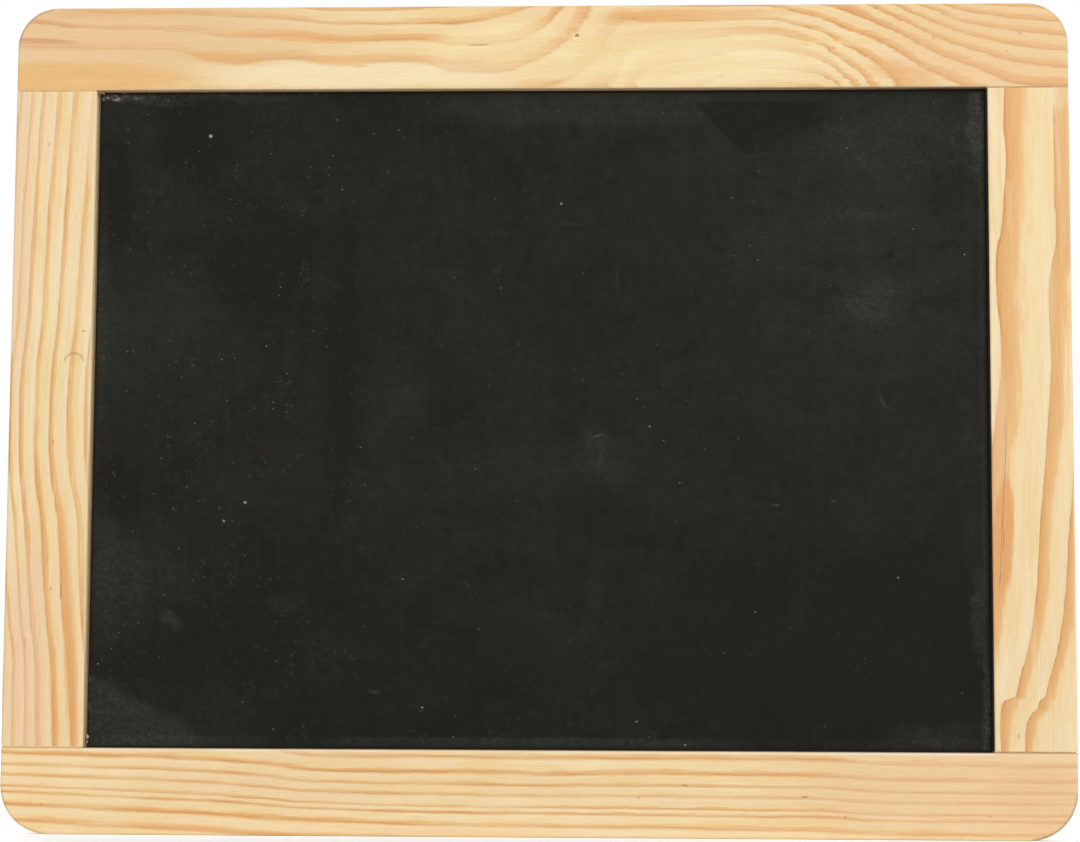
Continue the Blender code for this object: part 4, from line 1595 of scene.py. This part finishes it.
@dataclass
class CornerCrumbs:
    """Torn fibres and glue crumbs caught between a batten and the panel."""

    name: str
    crumbs: tuple[Crumb, ...]
    colour: Colour
    dirt: Colour = paint("6B5133")
    lump_size: float = 0.35
    relief_depth: float = 0.00008

    def _material(self) -> bpy.types.Material:
        """Make the crumbs' material.

        Returns:
            The material.
        """
        nodes = Nodes(self.name)
        place = nodes.board_place()
        specks = nodes.noise(place.scaled((3.0, 3.0, 3.0)), 3.0, 0.7)
        colour = nodes.mix(self.colour, self.dirt, specks.rises(0.4, 0.62))
        return nodes.finish(colour, 0.8, specks, self.relief_depth, {"Specular IOR Level": 0.2})

    def _crumb(self, crumb: Crumb) -> bpy.types.Object:
        """Model one crumb.

        Args:
            crumb: Its place and size.

        Returns:
            The crumb.
        """
        bpy.ops.object.select_all(action="DESELECT")
        centre = (Vector((crumb.x, crumb.depth, crumb.z)) + BOARD_CENTRE) / MILLIMETRES
        bpy.ops.mesh.primitive_ico_sphere_add(subdivisions=4, radius=0.5 / MILLIMETRES, location=centre)
        piece = bpy.context.object
        piece.rotation_euler = (0.0, math.radians(-crumb.turn), 0.0)
        piece.scale = (crumb.length, crumb.width, crumb.height)
        bpy.ops.object.transform_apply(location=True, rotation=True, scale=True)
        lumps = bpy.data.textures.new(f"{self.name}_lumps", "CLOUDS")
        lumps.noise_scale = self.lump_size / MILLIMETRES
        uneven = piece.modifiers.new("uneven", "DISPLACE")
        uneven.texture = lumps
        uneven.strength = crumb.lumps / MILLIMETRES
        bpy.ops.object.modifier_apply(modifier=uneven.name)
        return piece

    def build(self) -> None:
        """Model the crumbs and let them ride on the board."""
        piece = joined([self._crumb(crumb) for crumb in self.crumbs], self.name)
        settle(piece, self._material(), sharp_degrees=40)


def dress(node: str, material: bpy.types.Material) -> None:
    """Give a CAD node its material.

    Args:
        node: The node's name.
        material: What it wears.
    """
    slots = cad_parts[node].material_slots
    for slot in slots:
        slot.link = "OBJECT"
        slot.material = material
    LOG.info("%s wears %s", node, material.name)


@dataclass
class PineFrame:
    """The four battens, the glue in their joints and the crumbs in two corners."""

    top_radius: float = TOP_RADIUS
    bottom_radius: float = BOTTOM_RADIUS

    def _fill_joints(self) -> None:
        """Put glue into the four corner joints."""
        glue = Glue().material()
        for up, level, radius in ((1, "top", self.top_radius), (-1, "bottom", self.bottom_radius)):
            for right, hand in ((-1, "left"), (1, "right")):
                CornerGlue(f"joint_glue_{level}_{hand}", right, up, radius).build(glue)

    def build(self) -> None:
        """Dress the battens, fill their joints and leave crumbs in two corners."""
        for node, pine in BATTENS.items():
            dress(node, pine.material())
        self._fill_joints()
        CornerCrumbs(
            "crumbs_top_left",
            (
                Crumb(-101.0, 1.2, 74.65, 1.3, 1.8, 0.9, 12, 0.2),
                Crumb(-100.3, 1.7, 74.6, 1.0, 1.5, 0.7, -20, 0.2),
                Crumb(-101.2, 1.9, 74.2, 0.6, 1.2, 0.8, 0, 0.2),
            ),
            paint("A68A5C"),
        ).build()
        CornerCrumbs(
            "crumbs_bottom_left",
            (
                Crumb(-101.0, 2.5, -72.5, 0.55, 0.8, 1.1, 14, 0.2),
                Crumb(-101.05, 2.7, -73.7, 0.4, 0.5, 0.6, -8, 0.2),
            ),
            paint("F4E8DE"),
        ).build()


@dataclass
class WritingPanel:
    """The panel in its groove."""

    finish: Chalkboard = field(default_factory=Chalkboard)

    def build(self) -> None:
        """Dress the panel."""
        dress("chalkboard_panel", self.finish.material())


@dataclass
class Hangers:
    """The two D-ring hangers."""

    strap: PlatedSteel = PlatedSteel("satin_nickel", paint("C9C7C0"), 0.34, 1.0)
    ring: PlatedSteel = PlatedSteel("bright_nickel", paint("D2D0C8"), 0.2, 0.2)
    screw: PlatedSteel = PlatedSteel("zinc_plate", paint("CBCBC2"), 0.3, 0.0)

    def build(self) -> None:
        """Dress straps, rings and screws."""
        for part, finish in (("strap", self.strap), ("ring", self.ring), ("screw", self.screw)):
            material = finish.material()
            for side in ("left", "right"):
                dress(f"hanger_{part}_{side}", material)


@dataclass(frozen=True)
class Lamp:
    """A square soft light that faces the board: its place and edge in metres, its power in watts."""

    name: str
    place: tuple[float, float, float]
    size: float
    power: float


@dataclass
class Studio:
    """Camera, floor, lights and surroundings, in metres and degrees. Lens and sensor are in millimetres."""

    eye: Vector = field(default_factory=lambda: Vector((0.0273, -0.6334, -0.1531)))
    gaze: Vector = field(default_factory=lambda: Vector((-0.0423, 0.9938, 0.1031)))
    roll: float = 0.30
    lens: float = 93.0
    sensor_width: float = 36.0
    nearest: float = 0.01
    lit_point: Vector = field(default_factory=lambda: Vector((0.0, 0.0, -0.087)))
    lamps: tuple[Lamp, ...] = (
        Lamp("key_light", (1.6, -2.7, 0.4), 1.5, 66.0),
        Lamp("fill_light", (-1.8, -2.5, -0.1), 1.7, 16.5),
        Lamp("back_light", (-0.5, 1.3, 0.7), 0.9, 14.0),
    )
    floor_level: float = -0.18125
    floor_size: float = 40.0
    floor_colour: Colour = (0.8, 0.8, 0.8)
    glow_near: Colour = (0.5, 0.5, 0.5)
    white: Colour = (1.0, 1.0, 1.0)
    ambient: float = 0.42

    @staticmethod
    def _aim(
        name: str,
        data: bpy.types.ID,
        place: Vector,
        gaze: Vector,
        roll: float = 0.0,
    ) -> bpy.types.Object:
        """Place a camera or a lamp.

        Args:
            name: The object's name.
            data: The camera or the lamp.
            place: Where it stands.
            gaze: Which way it looks.
            roll: How far it is turned about that way.

        Returns:
            The object.
        """
        aimed = bpy.data.objects.new(name, data)
        bpy.context.scene.collection.objects.link(aimed)
        turn = gaze.to_track_quat("-Z", "Y").to_matrix().to_4x4()
        aimed.matrix_world = Matrix.Translation(place) @ turn @ Matrix.Rotation(math.radians(roll), 4, "Z")
        return aimed

    def _camera(self) -> None:
        """Place the camera where the picture was taken."""
        data = bpy.data.cameras.new("camera")
        data.lens = self.lens
        data.sensor_width = self.sensor_width
        data.sensor_fit = "HORIZONTAL"
        data.clip_start = self.nearest
        bpy.context.scene.camera = self._aim("camera", data, self.eye, self.gaze, self.roll)

    def _light(self, lamp: Lamp) -> None:
        """Add a lamp.

        Args:
            lamp: Its place, size and power.
        """
        data = bpy.data.lights.new(lamp.name, "AREA")
        data.shape = "SQUARE"
        data.size = lamp.size
        data.energy = lamp.power
        place = Vector(lamp.place)
        self._aim(lamp.name, data, place, self.lit_point - place)

    @staticmethod
    def _two_faced(nodes: Nodes, kind: str, plain: bpy.types.Node, seen: bpy.types.Node) -> None:
        """Close a tree whose surface looks otherwise than it lights.

        Args:
            nodes: The tree.
            kind: The type of its output node.
            plain: The shader by which it lights.
            seen: The shader that the eye sees, directly, in metal or through glass.
        """
        path = nodes.add("ShaderNodeLightPath")
        rays = ("Is Camera Ray", "Is Glossy Ray", "Is Transmission Ray")
        looked_at = strongest([Number(nodes, path.outputs[name]) for name in rays])
        shaders = {0: looked_at, 1: plain.outputs[0], 2: seen.outputs[0]}
        nodes.add(kind, None, {"Surface": nodes.add("ShaderNodeMixShader", None, shaders).outputs[0]})

    def _floor(self) -> None:
        """Lay the pale floor that the board stands on."""
        bpy.ops.object.select_all(action="DESELECT")
        bpy.ops.mesh.primitive_plane_add(size=self.floor_size, location=(0.0, 0.0, self.floor_level))
        floor = bpy.context.object
        floor.name = "floor"
        nodes = Nodes("pale_floor")
        matt = nodes.add("ShaderNodeBsdfDiffuse", None, {"Color": self.floor_colour})
        near = Place(nodes, nodes.add("ShaderNodeTexCoord").outputs["Object"]).length()
        glow = nodes.mix(self.glow_near, self.white, near.rises(0.5, 3.0))
        lift = nodes.add("ShaderNodeEmission", None, {"Color": glow, "Strength": 1.0})
        lifted = nodes.add("ShaderNodeAddShader", None, {0: matt.outputs[0], 1: lift.outputs[0]})
        self._two_faced(nodes, "ShaderNodeOutputMaterial", matt, lifted)
        floor.data.materials.append(nodes.owner)
        floor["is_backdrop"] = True

    def _world(self) -> None:
        """Surround the board with soft light that looks white."""
        nodes = Nodes("surroundings", world=True)
        light = nodes.add("ShaderNodeBackground", None, {"Color": self.white, "Strength": self.ambient})
        white = nodes.add("ShaderNodeBackground", None, {"Color": self.white, "Strength": 1.0})
        self._two_faced(nodes, "ShaderNodeOutputWorld", light, white)
        bpy.context.scene.world = nodes.owner

    def build(self) -> None:
        """Set the studio up."""
        self._camera()
        self._floor()
        self._world()
        for lamp in self.lamps:
            self._light(lamp)
        bpy.context.scene.view_settings.view_transform = "Standard"
        LOG.info("studio is ready")


def write_sizes() -> None:
    """Work out the CAD model's box and the dressed model's box, which are not kept."""
    def plain(bounds: object) -> object:
        """Turn vectors into lists of numbers.

        Args:
            bounds: A vector, or a tuple or list of them.

        Returns:
            The same numbers in plain lists.
        """
        if isinstance(bounds, (tuple, list)) and bounds and not isinstance(bounds[0], (int, float)):
            return [plain(part) for part in bounds]
        return [float(part) for part in bounds]

    {"cad": plain(CAD_BOUNDS), "visual": plain(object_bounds())}


def main() -> None:
    """Dress the board and light it."""
    logging.basicConfig(level=logging.INFO, format="%(name)s: %(message)s")
    Studio().build()
    PineFrame().build()
    WritingPanel().build()
    Hangers().build()
    write_sizes()


if __name__ == "__main__":
    main()
